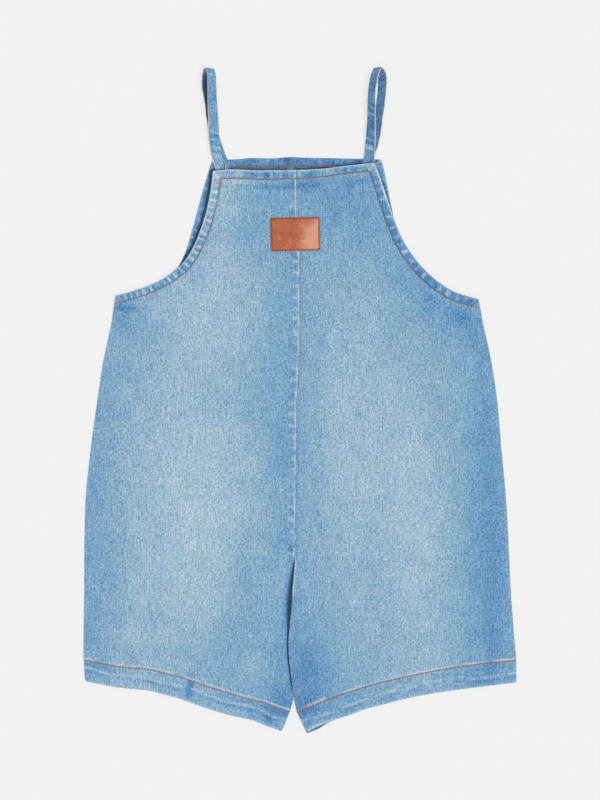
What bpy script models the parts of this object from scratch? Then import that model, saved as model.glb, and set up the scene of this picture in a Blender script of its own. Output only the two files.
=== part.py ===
"""A child's short denim dungarees, laid flat on a table with the front up.

+X is the wearer's left, +Y points to the straps and +Z up from the table. The origin is on the table,
under the middle of the garment. Tables are in millimetres. Every panel is a grid of rows that run from
its centre seam (or inner-leg seam) out to its free edge; the turned hems, the seam allowances and the
label are made from the same points, moved down or up. Right and left are the wearer's.
"""
import math
from collections import namedtuple

import bmesh
import bpy
from mathutils import Vector
from mathutils.bvhtree import BVHTree

MM = 0.001

# Cloth
DENIM = 1.1            # thickness of one layer
GAP = 0.3              # between layers and between pieces at a seam
LABEL_LEATHER = 1.2
STRAP_THICK = 1.4      # a folded and pressed strip
LAYER = DENIM + GAP

# Widths of what is turned in
NARROW_HEM = 8.5       # bib top and armholes
ALLOWANCE = 8.0        # centre seams

# Heights of the front's underside above the table
SIDE_HEIGHT = LAYER                # at a side or inner-leg seam, right on the back
HEM_HEIGHT = 3 * LAYER             # over the back and both turned hems
BODY_LOFT = 0.5                    # how much higher the middle of a half lies than its hems
SIDE_ROLL = 22.0                   # the front comes down to its side seam within this distance
INNER_ROLL = 13.0
EDGE_RUN = 20.0                    # length of edge over which a hem's thickness dies out
STRAP_BUMP_FLAT = 15.0             # radius held up by a strap's end under the bib's corner
STRAP_BUMP_REACH = 36.0
LOFT_TOP_ROWS = 5                  # rows below the bib's hem over which the loft comes in
LOFT_HEM_ROWS = 4                  # rows above a leg hem over which it goes out
LOFT_FROM_EDGE = 24.0              # and the distances from the armhole's hem and from the inner leg
LOFT_FROM_LEG = 20.0
LEG_LOFT_ROWS = 3                  # rows above the crotch from which the inner leg counts

# How far a turned hem's corners are pulled outwards and up, so that two hems stay apart at a mitre
MITRE_PULL = {
    "top corner": (-0.18, 0.054),
    "top inside": (-0.18, 0.18),
    "armhole corner": (0.0, -0.45),
    "armhole inside": (0.18, -0.18),
}
MITRE_LIMIT = 0.5                  # the sharpest bend of an edge that is mitred in full

ROW_PITCH = 11.5
INNER_COLUMNS = 7                  # cells between the allowance line and the hem line of a front half
BACK_COLUMNS = 5

# A level of a half: its free edge, its seam edge, and how far its middle bows up from the straight line
Level = namedtuple("Level", "name edge_x edge_y seam_x seam_y bow")

FRONT_RIGHT = [
    Level("bib top", -78.6, 205.4, -4.65, 207.3, 0.3),
    Level("bib hem", -79.3, 196.9, -4.50, 198.8, 0.0),
    Level("bib", -81.0, 186.0, -4.25, 187.0, 0.0),
    Level("label", -84.9, 168.0, -3.85, 166.0, 0.0),
    Level("bib foot", -91.8, 147.5, -2.95, 145.0, 0.0),
    Level("scoop", -103.5, 125.6, -2.15, 122.0, 0.0),
    Level("low scoop", -119.5, 112.5, -1.95, 106.0, 0.0),
    Level("scoop end", -140.0, 102.6, -1.95, 92.0, 0.0),
    Level("underarm", -166.4, 94.8, -1.95, 79.0, 0.0),
    Level("chest", -169.8, 71.6, -1.95, 58.0, 0.0),
    Level("ribs", -177.3, 35.6, -2.95, 28.0, 0.0),
    Level("waist", -182.7, 0.0, -4.65, -6.0, 0.0),
    Level("hip", -188.8, -45.0, -4.95, -50.0, 0.0),
    Level("seat", -193.4, -90.0, -5.50, -97.0, 0.0),
    Level("crotch", -194.5, -132.0, -6.30, -144.0, 0.0),
    Level("thigh", -194.6, -174.0, -10.40, -184.0, 0.5),
    Level("knee", -195.2, -206.0, -12.40, -221.0, 2.5),
    Level("leg seam end", -195.0, -227.5, -6.00, -270.0, 5.0),
    Level("hem fold", -194.7, -234.4, -8.60, -279.4, 5.4),
    Level("hem", -193.7, -254.3, -16.40, -298.4, 5.2),
]

FRONT_LEFT = [
    Level("bib top", 67.0, 213.4, -4.35, 207.3, -1.0),
    Level("bib hem", 70.3, 205.2, -4.20, 198.8, -0.8),
    Level("bib", 76.6, 187.0, -3.95, 187.0, 0.0),
    Level("label", 82.9, 169.0, -3.55, 166.0, 0.0),
    Level("bib foot", 91.6, 146.0, -2.65, 145.0, 0.0),
    Level("scoop", 106.4, 123.6, -1.85, 122.0, 0.0),
    Level("low scoop", 120.8, 109.4, -1.65, 106.0, 0.0),
    Level("scoop end", 138.4, 97.9, -1.65, 92.0, 0.0),
    Level("underarm", 161.0, 90.8, -1.65, 79.0, 0.0),
    Level("chest", 165.0, 70.0, -1.65, 58.0, 0.0),
    Level("ribs", 172.5, 35.6, -2.65, 28.0, 0.0),
    Level("waist", 177.9, 0.0, -4.35, -6.0, 0.0),
    Level("hip", 181.8, -45.0, -4.65, -50.0, 0.0),
    Level("seat", 186.0, -90.0, -5.20, -97.0, 0.0),
    Level("crotch", 188.3, -132.0, -6.00, -144.0, 0.0),
    Level("thigh", 190.3, -174.0, -9.40, -184.0, 1.0),
    Level("knee", 192.7, -206.0, -11.20, -221.0, 4.5),
    Level("leg seam end", 194.3, -228.0, -5.40, -270.0, 8.4),
    Level("hem fold", 194.7, -234.8, -3.00, -280.6, 9.2),
    Level("hem", 194.9, -254.5, 6.00, -299.2, 9.4),
]

# The back's own levels above the underarm; below it the back has the front's outline
BACK_RIGHT_TOP = [
    Level("top", -79.4, 216.0, -11.35, 218.3, 0.3),
    Level("top hem", -82.2, 207.4, -11.25, 209.8, 0.3),
    Level("bib", -87.4, 190.0, -11.05, 190.0, 0.0),
    Level("label", -93.2, 168.5, -10.65, 167.0, 0.0),
    Level("bib foot", -98.5, 149.5, -10.15, 145.0, 0.0),
    Level("scoop", -108.3, 122.6, -9.55, 122.0, 0.0),
    Level("low scoop", -123.0, 108.3, -9.05, 106.0, 0.0),
    Level("scoop end", -141.0, 98.8, -8.75, 92.0, 0.0),
    Level("underarm", -165.8, 92.6, -8.45, 79.0, 0.0),
]

BACK_LEFT_TOP = [
    Level("top", 73.2, 216.9, -11.05, 218.3, 0.5),
    Level("top hem", 75.8, 207.8, -10.95, 209.8, 0.4),
    Level("bib", 79.6, 190.0, -10.75, 190.0, 0.0),
    Level("label", 83.6, 168.5, -10.35, 167.0, 0.0),
    Level("bib foot", 91.0, 145.0, -9.85, 145.0, 0.0),
    Level("scoop", 105.8, 122.2, -9.25, 122.0, 0.0),
    Level("low scoop", 120.2, 107.4, -8.75, 106.0, 0.0),
    Level("scoop end", 138.0, 95.8, -8.45, 92.0, 0.0),
    Level("underarm", 160.4, 88.8, -8.15, 79.0, 0.0),
]

BACK_INSET = 0.6                    # the back's side edges lie this far inside the front's
BACK_HEM_DROP = {"right": -0.8, "left": 0.8}     # how far the back's leg hem hangs below the front's
BACK_SEAM_BLEND = {"chest": 0.75, "ribs": 0.5, "waist": 0.25}    # share of the top's seam offset left
BACK_SEAM_OFFSET = -6.5

# Where the bow of a leg hem is greatest: 1 is the middle, more is towards the side seam
HEM_SKEW = {"right": 1.3, "left": 0.75}

# The cloth's largest soft folds: a trough (minus) or ridge (plus), lying along `turn` degrees from +X
Fold = namedtuple("Fold", "x y turn half_length half_width rise")
FOLDS = [
    Fold(-125, 52, -27, 52, 13, -1.0),
    Fold(90, 68, 37, 46, 13, -1.1),
    Fold(-95, -60, 84, 95, 22, 0.5),
    Fold(162, -92, 94, 110, 9, -0.9),
    Fold(92, -75, 97, 95, 24, 0.5),
    Fold(-52, -208, 76, 60, 10, -0.8),
    Fold(-118, 20, -60, 40, 16, 0.5),
    Fold(48, 25, 75, 50, 18, -0.5),
]

# A strap from the end that is sewn to the back, up over its loop and down to the end behind the bib.
# lean is how far its +X edge is turned up, in degrees.
Station = namedtuple("Station", "x y z width lean")
STRAP_RIGHT = [
    Station(-64.9, 206.9, 3.5, 5.4, 0),
    Station(-65.4, 213.0, 3.5, 5.0, 0),
    Station(-68.4, 219.6, 3.5, 5.8, 0),
    Station(-72.6, 227.5, 2.3, 8.4, -4),
    Station(-76.4, 236.0, 1.4, 10.4, -6),
    Station(-79.0, 253.4, 1.7, 10.4, -10),
    Station(-83.2, 271.4, 3.2, 10.4, -27),
    Station(-84.6, 284.0, 3.7, 10.4, -32),
    Station(-84.0, 292.4, 5.0, 10.2, -32),
    Station(-81.9, 297.5, 8.2, 10.0, -32),
    Station(-79.9, 292.8, 11.7, 10.2, -32),
    Station(-79.3, 284.0, 12.6, 10.4, -31),
    Station(-79.1, 271.4, 10.2, 10.4, -26),
    Station(-78.4, 253.4, 5.0, 10.4, -11),
    Station(-77.2, 236.0, 4.1, 10.4, -3),
    Station(-74.8, 220.0, 5.3, 9.8, 0),
    Station(-72.5, 211.0, 4.8, 8.6, 0),
    Station(-71.7, 205.6, 3.5, 7.8, 0),
    Station(-71.0, 197.6, 3.5, 7.8, 0),
]
STRAP_LEFT = [
    Station(59.0, 207.6, 3.5, 10.4, 0),
    Station(60.0, 213.5, 3.6, 10.4, 0),
    Station(61.8, 220.0, 4.0, 10.4, 5),
    Station(65.4, 229.0, 2.7, 10.4, 20),
    Station(68.4, 240.2, 3.4, 10.4, 31),
    Station(70.5, 253.4, 4.0, 10.4, 38),
    Station(73.1, 271.4, 4.3, 10.4, 43),
    Station(74.2, 284.0, 4.4, 10.4, 43),
    Station(73.8, 293.0, 5.4, 10.4, 43),
    Station(70.8, 298.6, 8.9, 10.2, 43),
    Station(67.9, 292.6, 12.5, 10.4, 43),
    Station(66.4, 284.0, 13.4, 10.4, 43),
    Station(65.1, 271.4, 13.1, 10.4, 43),
    Station(64.2, 253.4, 10.4, 10.4, 40),
    Station(63.4, 238.0, 7.9, 10.4, 30),
    Station(62.6, 226.0, 6.3, 10.4, 14),
    Station(61.8, 214.0, 5.2, 10.4, 0),
    Station(61.2, 204.4, 5.2, 10.4, 0),
]
STRAP_PITCH = 5.0

LABEL_CENTRE = (-4.3, 148.8)
LABEL_SIZE = (44.2, 29.6)
LABEL_TURN = 1.4
LABEL_CELLS = (8, 5)
LABEL_CORNER = 0.45                # how far each corner is cut in

STRAPS = {"right": STRAP_RIGHT, "left": STRAP_LEFT}


def material(name, colour, roughness):
    """A plain Principled material."""
    made = bpy.data.materials.new(name)
    made.use_nodes = True
    shader = made.node_tree.nodes["Principled BSDF"]
    shader.inputs["Base Color"].default_value = (*colour, 1.0)
    shader.inputs["Roughness"].default_value = roughness
    shader.inputs["Metallic"].default_value = 0.0
    made.diffuse_color = (*colour, 1.0)
    return made


def smoothstep(value):
    """0 below 0, 1 above 1, and smooth between."""
    value = min(max(value, 0.0), 1.0)
    return value * value * (3.0 - 2.0 * value)


def spline(points, corners=()):
    """A function of a row number, smooth through the points, with a corner at each index in corners."""
    points = [Vector(p) for p in points]
    lengths = [max((b - a).length, 0.01) for a, b in zip(points, points[1:])]
    slopes = [(b - a) / s for a, b, s in zip(points, points[1:], lengths)]
    last = len(slopes) - 1

    def tangent(index, span):
        before, after = index - 1, index
        if index in corners or before < 0 or after > last:
            return slopes[span]
        shared = lengths[before] + lengths[after]
        return (slopes[before] * lengths[after] + slopes[after] * lengths[before]) / shared

    def at(row):
        span = min(int(row), last)
        t = row - span
        start, end = tangent(span, span) * lengths[span], tangent(span + 1, span) * lengths[span]
        a, b = points[span], points[span + 1]
        return (
            a * (2 * t**3 - 3 * t**2 + 1)
            + start * (t**3 - 2 * t**2 + t)
            + b * (3 * t**2 - 2 * t**3)
            + end * (t**3 - t**2)
        )

    return at


def inward(points, index, sign):
    """The unit-width mitre at a point of an edge: across it, into the cloth."""
    here = points[index]
    before = (here - points[index - 1]).normalized() if index else None
    after = (points[index + 1] - here).normalized() if index < len(points) - 1 else None
    before, after = before or after, after or before
    mean = (before + after).normalized()
    across = Vector((-mean.y, mean.x)) * sign
    return across / max(mean.dot(after), MITRE_LIMIT)


class Half:
    """A half of the front or back: its rows of points across, and what is where on them."""

    def __init__(self, side, levels, columns):
        self.side = side
        self.names = [level.name for level in levels]
        self.levels = levels
        underarm, crotch = self.names.index("underarm"), self.names.index("crotch")
        leg_end = self.names.index("leg seam end")
        edge = spline([(p.edge_x, p.edge_y) for p in levels], {underarm})
        seam = spline([(p.seam_x, p.seam_y) for p in levels], {crotch, leg_end})
        self.row_of = {}
        stops = []
        for span, (a, b) in enumerate(zip(levels, levels[1:])):
            self.row_of[a.name] = len(stops)
            run = math.dist((a.edge_x, a.edge_y), (b.edge_x, b.edge_y))
            turned_in = span in (0, len(levels) - 2)
            cells = 1 if turned_in else max(1, round(run / ROW_PITCH))
            stops += [span + cell / cells for cell in range(cells)]
        self.row_of[levels[-1].name] = len(stops)
        stops.append(len(levels) - 1)
        self.stops = stops
        self.edge = [edge(stop) for stop in stops]
        self.seam = [seam(stop) for stop in stops]
        self.bow = [self.bow_at(stop) for stop in stops]
        self.points = [self.row(index, columns) for index in range(len(stops))]
        self.last_row = len(stops) - 1
        self.last_column = len(self.points[0]) - 1

    def bow_at(self, stop):
        below = min(int(stop), len(self.levels) - 2)
        share = stop - below
        return self.levels[below].bow * (1 - share) + self.levels[below + 1].bow * share

    def row(self, index, columns):
        """Seam edge, allowance line, evenly spaced points, hem line, free edge."""
        seam, edge = self.seam[index], self.edge[index]
        length = (edge - seam).length
        sign = -1 if self.side == "left" else 1
        straight = index < 2 or index >= len(self.stops) - 2
        if straight:
            inner = seam.lerp(edge, ALLOWANCE / length)
            outer = edge.lerp(seam, NARROW_HEM / length)
        else:
            inner = seam + inward(self.seam, index, -sign) * ALLOWANCE
            outer = edge + inward(self.edge, index, sign) * NARROW_HEM
        middle = [inner.lerp(outer, column / columns) for column in range(columns + 1)]
        skew = HEM_SKEW[self.side]
        bowed = []
        for point in middle:
            share = min(max((point - seam).length / length, 0.0), 1.0)
            bowed.append(point + Vector((0, self.bow[index] * math.sin(math.pi * share**skew))))
        return [seam, *bowed, edge]

    def run(self, along, first, second):
        """The distance along an edge between two rows."""
        low, high = sorted((first, second))
        return sum((b - a).length for a, b in zip(along[low:high], along[low + 1 : high + 1]))


def back_levels(side, top, front):
    """The back's top, then the front's outline below the underarm, a little inside it."""
    inset = BACK_INSET * (1 if side == "right" else -1)
    names = [level.name for level in front]
    levels = list(top)
    for level in front[names.index("underarm") + 1 :]:
        drop = BACK_HEM_DROP[side] if level.name == "hem" else 0.0
        levels.append(
            level._replace(
                edge_x=level.edge_x + inset,
                edge_y=level.edge_y - min(drop, 0.0),
                seam_x=level.seam_x + BACK_SEAM_OFFSET * BACK_SEAM_BLEND.get(level.name, 0.0),
                seam_y=level.seam_y - drop,
            )
        )
    return levels


def fold_rise(x, y):
    """What the large folds add to the height at a place."""
    total = 0.0
    for fold in FOLDS:
        turn = math.radians(fold.turn)
        along = (x - fold.x) * math.cos(turn) + (y - fold.y) * math.sin(turn)
        across = (y - fold.y) * math.cos(turn) - (x - fold.x) * math.sin(turn)
        total += fold.rise * math.exp(
            -((along / fold.half_length) ** 2) - (across / fold.half_width) ** 2
        )
    return total


def front_height(half, row, column):
    """The height of the front's underside at a grid point."""
    point = half.points[row][column]
    underarm, crotch = half.row_of["underarm"], half.row_of["crotch"]
    fold_row = half.row_of["hem fold"]
    from_armhole = half.run(half.edge, underarm, row) if row > underarm else 0.0
    to_hem = half.run(half.edge, row, fold_row) if row < fold_row else 0.0
    hem_share = smoothstep(1.0 - min(from_armhole, to_hem) / EDGE_RUN)
    edge_height = SIDE_HEIGHT + (HEM_HEIGHT - SIDE_HEIGHT) * hem_share
    if row > crotch:
        down_leg = half.run(half.seam, crotch, row)
        up_leg = half.run(half.seam, row, fold_row) if row < fold_row else 0.0
        hem_share = smoothstep(1.0 - min(down_leg, up_leg) / EDGE_RUN)
        seam_height = SIDE_HEIGHT + (HEM_HEIGHT - SIDE_HEIGHT) * hem_share
    else:
        seam_height = None
    from_edge = (point - half.edge[row]).length
    from_seam = (point - half.seam[row]).length
    in_body = smoothstep((row - 1) / LOFT_TOP_ROWS)
    in_body *= smoothstep((fold_row - row) / LOFT_HEM_ROWS)
    in_body *= smoothstep((from_edge - NARROW_HEM) / LOFT_FROM_EDGE)
    if row > crotch - LEG_LOFT_ROWS:
        in_body *= smoothstep((from_seam - ALLOWANCE) / LOFT_FROM_LEG)
    height = HEM_HEIGHT + in_body * (BODY_LOFT + fold_rise(point.x, point.y))
    height = edge_height + (height - edge_height) * smoothstep(from_edge / SIDE_ROLL)
    if seam_height is not None:
        height = seam_height + (height - seam_height) * smoothstep(from_seam / INNER_ROLL)
    first, last = STRAPS[half.side][-2:]
    corner = Vector(((first.x + last.x) / 2, (first.y + last.y) / 2))
    away = ((point - corner).length - STRAP_BUMP_FLAT) / (STRAP_BUMP_REACH - STRAP_BUMP_FLAT)
    raised = last.z + STRAP_THICK / 2 + GAP + LAYER - HEM_HEIGHT
    return height + raised * (1.0 - smoothstep(away))


def sheet(name, cells, place, look, thickness=DENIM):
    """A closed wall over grid cells. `place` gives the underside of a grid point, in millimetres."""
    mesh = bmesh.new()
    bottom, top = {}, {}
    for key in sorted({corner for cell in cells for corner in cell}):
        x, y, z = place(key)
        bottom[key] = mesh.verts.new((x * MM, y * MM, z * MM))
        top[key] = mesh.verts.new((x * MM, y * MM, (z + thickness) * MM))
    sides = {}
    for cell in cells:
        ring = list(cell)
        area = sum(
            bottom[a].co.x * bottom[b].co.y - bottom[b].co.x * bottom[a].co.y
            for a, b in zip(ring, ring[1:] + ring[:1])
        )
        ring = ring if area > 0 else ring[::-1]
        start = ring.index(min(ring))
        ring = ring[start:] + ring[:start]
        triangles = [ring] if len(ring) == 3 else [ring[:3], [ring[0], *ring[2:]]]
        for triangle in triangles:
            mesh.faces.new([top[key] for key in triangle])
            mesh.faces.new([bottom[key] for key in reversed(triangle)])
        for side in zip(ring, ring[1:] + ring[:1]):
            if side[::-1] in sides:
                del sides[side[::-1]]
            else:
                sides[side] = True
    for a, b in sides:
        mesh.faces.new((bottom[a], bottom[b], top[b], top[a]))
    return finish(name, mesh, look)


def finish(name, mesh, look):
    """An object of its own from a bmesh."""
    data = bpy.data.meshes.new(name)
    bmesh.ops.recalc_face_normals(mesh, faces=mesh.faces)
    mesh.to_mesh(data)
    mesh.free()
    data.materials.append(look)
    made = bpy.data.objects.new(name, data)
    bpy.context.scene.collection.objects.link(made)
    return made


def block(rows, columns):
    """The cells between a first and last row and a first and last column."""
    return [
        ((r, c), (r + 1, c), (r + 1, c + 1), (r, c + 1))
        for r in range(rows[0], rows[1])
        for c in range(columns[0], columns[1])
    ]


def make_half(part, half, height, layer, look):
    """A panel, its turned hems and the mitres between them.

    height gives the panel's underside at (row, column); layer is where its turned cloth lies from that.
    """
    rows, columns = half.last_row, half.last_column
    underarm = half.row_of["underarm"]

    def panel(key):
        point = half.points[key[0]][key[1]]
        return point.x, point.y, height(*key)

    def turned(shrink):
        """Points of the turned layer, each pulled as far as `shrink` says."""

        def place(key):
            x, y, z = panel(key)
            dx, dy = shrink.get(key, (0.0, 0.0))
            return x + dx, y + dy, z + layer

        return place

    sheet(f"{part}_{half.side}", block((0, rows), (0, columns)), panel, look)

    outward = -1.0 if half.side == "right" else 1.0
    pull = {spot: (outward * out, up) for spot, (out, up) in MITRE_PULL.items()}
    corner, inside = (0, columns), (1, columns - 1)
    top_cells = block((0, 1), (0, columns - 1)) + [((0, columns - 1), inside, corner)]
    top_shift = {corner: pull["top corner"], inside: pull["top inside"]}
    sheet(f"{part}_top_hem_{half.side}", top_cells, turned(top_shift), look)
    arm_cells = [(inside, (1, columns), corner)] + block((1, underarm), (columns - 1, columns))
    arm_shift = {corner: pull["armhole corner"], inside: pull["armhole inside"]}
    sheet(f"{part}_armhole_hem_{half.side}", arm_cells, turned(arm_shift), look)
    sheet(f"{part}_leg_hem_{half.side}", block((rows - 1, rows), (0, columns)), turned({}), look)


def make_centre_seam(part, half, height, layer, look):
    """The allowance of the centre seam, pressed to the wearer's right, from the top hem to the crotch."""
    first, last = 1, half.row_of["crotch"]

    def place(key):
        point = half.points[key[0]][key[1]]
        down = GAP if key[0] == first else 0.0
        return point.x, point.y - down, height(*key) + layer

    sheet(f"{part}_centre_seam", block((first, last), (0, 1)), place, look)


def make_strap(side, stations, look):
    """A flat strip swept through its stations."""
    route = spline([(s.x, s.y, s.z) for s in stations])
    turn = spline([(s.width, s.lean, 10.0 * i) for i, s in enumerate(stations)])
    stops = []
    for span, (a, b) in enumerate(zip(stations, stations[1:])):
        cells = max(1, round(math.dist(a[:3], b[:3]) / STRAP_PITCH))
        stops += [span + cell / cells for cell in range(cells)]
    stops.append(len(stations) - 1)
    centres = [route(stop) for stop in stops]
    mesh = bmesh.new()
    rings = []
    for index, stop in enumerate(stops):
        before, after = centres[max(index - 1, 0)], centres[min(index + 1, len(centres) - 1)]
        forward = (after - before).normalized()
        width, lean, _ = turn(stop)
        lean = math.radians(lean)
        across = Vector((math.cos(lean), 0.0, math.sin(lean)))
        across = (across - across.dot(forward) * forward).normalized() * width / 2
        up = across.cross(forward).normalized() * STRAP_THICK / 2
        corners = (across + up, -across + up, -across - up, across - up)
        rings.append([mesh.verts.new((centres[index] + corner) * MM) for corner in corners])
    for ring, following in zip(rings, rings[1:]):
        for k in range(4):
            mesh.faces.new((ring[k], ring[k - 1], following[k - 1], following[k]))
    mesh.faces.new(rings[0])
    mesh.faces.new(reversed(rings[-1]))
    bmesh.ops.triangulate(mesh, faces=mesh.faces)
    return finish(f"strap_{side}", mesh, look)


def make_label(fronts, look):
    """The leather label, on the front's own surface, with its corners cut a little."""
    trees = []
    for front in fronts:
        trees.append(BVHTree.FromObject(front, bpy.context.evaluated_depsgraph_get()))
    turn = math.radians(LABEL_TURN)
    wide, high = LABEL_CELLS

    def ground(x, y):
        hits = [tree.ray_cast(Vector((x * MM, y * MM, 1.0)), Vector((0, 0, -1)))[0] for tree in trees]
        return max((hit.z / MM for hit in hits if hit), default=None)

    def place(key):
        u = (key[1] / wide - 0.5) * LABEL_SIZE[0]
        v = (key[0] / high - 0.5) * LABEL_SIZE[1]
        if key[0] in (0, high) and key[1] in (0, wide):
            u -= math.copysign(LABEL_CORNER, u)
            v -= math.copysign(LABEL_CORNER, v)
        x = LABEL_CENTRE[0] + u * math.cos(turn) - v * math.sin(turn)
        y = LABEL_CENTRE[1] + u * math.sin(turn) + v * math.cos(turn)
        return x, y, ground(x, y) or ground(x + GAP, y) or ground(x - GAP, y)

    def lifted(key):
        x, y, z = place(key)
        return x, y, z + GAP

    return sheet("label", block((0, high), (0, wide)), lifted, look, LABEL_LEATHER)


def main():
    for old in list(bpy.data.objects):
        bpy.data.objects.remove(old)
    outside = material("denim", (0.27, 0.44, 0.58), 0.85)
    inside = material("denim_inside", (0.16, 0.31, 0.5), 0.88)
    strap = material("denim_strap", (0.18, 0.35, 0.54), 0.85)
    leather = material("label_leather", (0.46, 0.17, 0.09), 0.5)

    fronts, backs = {}, {}
    for side, levels in (("right", FRONT_RIGHT), ("left", FRONT_LEFT)):
        fronts[side] = Half(side, levels, INNER_COLUMNS)
    for side, top, front in (
        ("right", BACK_RIGHT_TOP, FRONT_RIGHT),
        ("left", BACK_LEFT_TOP, FRONT_LEFT),
    ):
        backs[side] = Half(side, back_levels(side, top, front), BACK_COLUMNS)

    for half in fronts.values():
        make_half("front", half, lambda r, c, h=half: front_height(h, r, c), -LAYER, outside)
    for half in backs.values():
        make_half("back", half, lambda r, c: 0.0, LAYER, inside)
    right = fronts["right"]
    make_centre_seam("front", right, lambda r, c: front_height(right, r, c), -LAYER, outside)
    make_centre_seam("back", backs["right"], lambda r, c: 0.0, LAYER, inside)
    for side, stations in STRAPS.items():
        make_strap(side, stations, strap)
    bpy.context.view_layer.update()
    make_label([bpy.data.objects["front_right"], bpy.data.objects["front_left"]], leather)


main()
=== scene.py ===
"""A child's short denim dungarees, laid flat with the front up, made around its CAD frame.

Lengths are in millimetres inside the shapes and in metres in the properties. +X is the wearer's left,
+Y points to the straps and +Z up from the table. Right and left are the wearer's.
"""
import itertools
import math
from collections import namedtuple

import bmesh
import bpy
import numpy as np
from bpy.props import FloatProperty, FloatVectorProperty, PointerProperty
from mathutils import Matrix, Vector
from mathutils.bvhtree import BVHTree
from mathutils.kdtree import KDTree


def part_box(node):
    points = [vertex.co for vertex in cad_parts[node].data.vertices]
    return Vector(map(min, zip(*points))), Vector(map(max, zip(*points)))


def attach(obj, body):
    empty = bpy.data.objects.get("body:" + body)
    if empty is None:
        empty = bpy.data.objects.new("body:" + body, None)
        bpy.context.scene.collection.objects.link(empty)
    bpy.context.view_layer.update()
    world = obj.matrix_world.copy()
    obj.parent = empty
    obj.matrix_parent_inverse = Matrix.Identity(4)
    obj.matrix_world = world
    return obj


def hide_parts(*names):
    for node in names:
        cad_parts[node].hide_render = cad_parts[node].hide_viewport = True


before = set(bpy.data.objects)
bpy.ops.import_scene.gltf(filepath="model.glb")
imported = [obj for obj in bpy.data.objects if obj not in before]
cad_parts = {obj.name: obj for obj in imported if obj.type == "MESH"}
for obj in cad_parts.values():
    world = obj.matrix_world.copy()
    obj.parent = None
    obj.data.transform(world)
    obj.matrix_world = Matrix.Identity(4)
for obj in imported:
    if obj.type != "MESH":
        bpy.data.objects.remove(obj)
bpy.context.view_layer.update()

bl_info = {
    "name": "Denim dungarees",
    "version": (1, 0, 0),
    "blender": (4, 5, 0),
    "location": "3D View > Sidebar > Dungarees",
    "description": "Cloth, straps, label and topstitching of short denim dungarees laid flat",
    "category": "Object",
}

MM = 0.001
SIDES = ("right", "left")
OUTWARD = {"right": -1, "left": 1}

# A soft crease or wash mark: it lies along `turn` degrees from +X, and its last column says how far the
# cloth rises or how much paler it is at its middle
Crease = namedtuple("Crease", "x y turn half_length half_width rise")
Wash = namedtuple("Wash", "x y turn half_length half_width tone")

FRONT_CREASES = [
    Crease(-148, 78, -38, 16, 5, -0.5),
    Crease(-136, 84, -52, 12, 4, -0.35),
    Crease(-120, 60, -40, 26, 7, -0.5),
    Crease(146, 74, 40, 18, 5, -0.5),
    Crease(128, 68, 48, 14, 4, -0.35),
    Crease(-84, 128, -4, 12, 1.8, -0.35),
    Crease(-86, 120, 2, 14, 1.8, -0.4),
    Crease(-90, 112, -6, 10, 2.0, -0.3),
    Crease(-52, 181, 8, 20, 4, -0.35),
    Crease(44, 184, 4, 24, 4, -0.3),
    Crease(14, 182, -6, 14, 3, -0.25),
    Crease(-99, -257, 80, 10, 4, -0.6),
    Crease(-40, -190, 84, 34, 6, -0.4),
    Crease(-58, -150, 96, 40, 7, 0.35),
    Crease(62, -170, 92, 46, 8, -0.35),
    Crease(120, -205, 12, 34, 8, 0.3),
    Crease(-130, -215, -8, 30, 7, 0.3),
    Crease(30, -120, -42, 22, 6, -0.4),
    Crease(-34, -118, 44, 22, 6, -0.4),
    Crease(22, -146, -60, 18, 4, -0.4),
    Crease(-30, -150, 58, 16, 4, -0.35),
    Crease(150, 0, 80, 40, 9, 0.3),
    Crease(-160, -30, 96, 44, 9, 0.3),
]
BACK_CREASES = [
    Crease(-100, 40, 30, 42, 8, -0.4),
    Crease(90, 10, -24, 46, 9, -0.4),
    Crease(-60, -90, 60, 36, 7, -0.3),
    Crease(60, -110, -58, 34, 7, -0.35),
    Crease(-120, -180, 12, 40, 8, -0.3),
    Crease(110, -200, -10, 38, 8, -0.3),
    Crease(0, 110, 4, 30, 6, -0.3),
]
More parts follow.
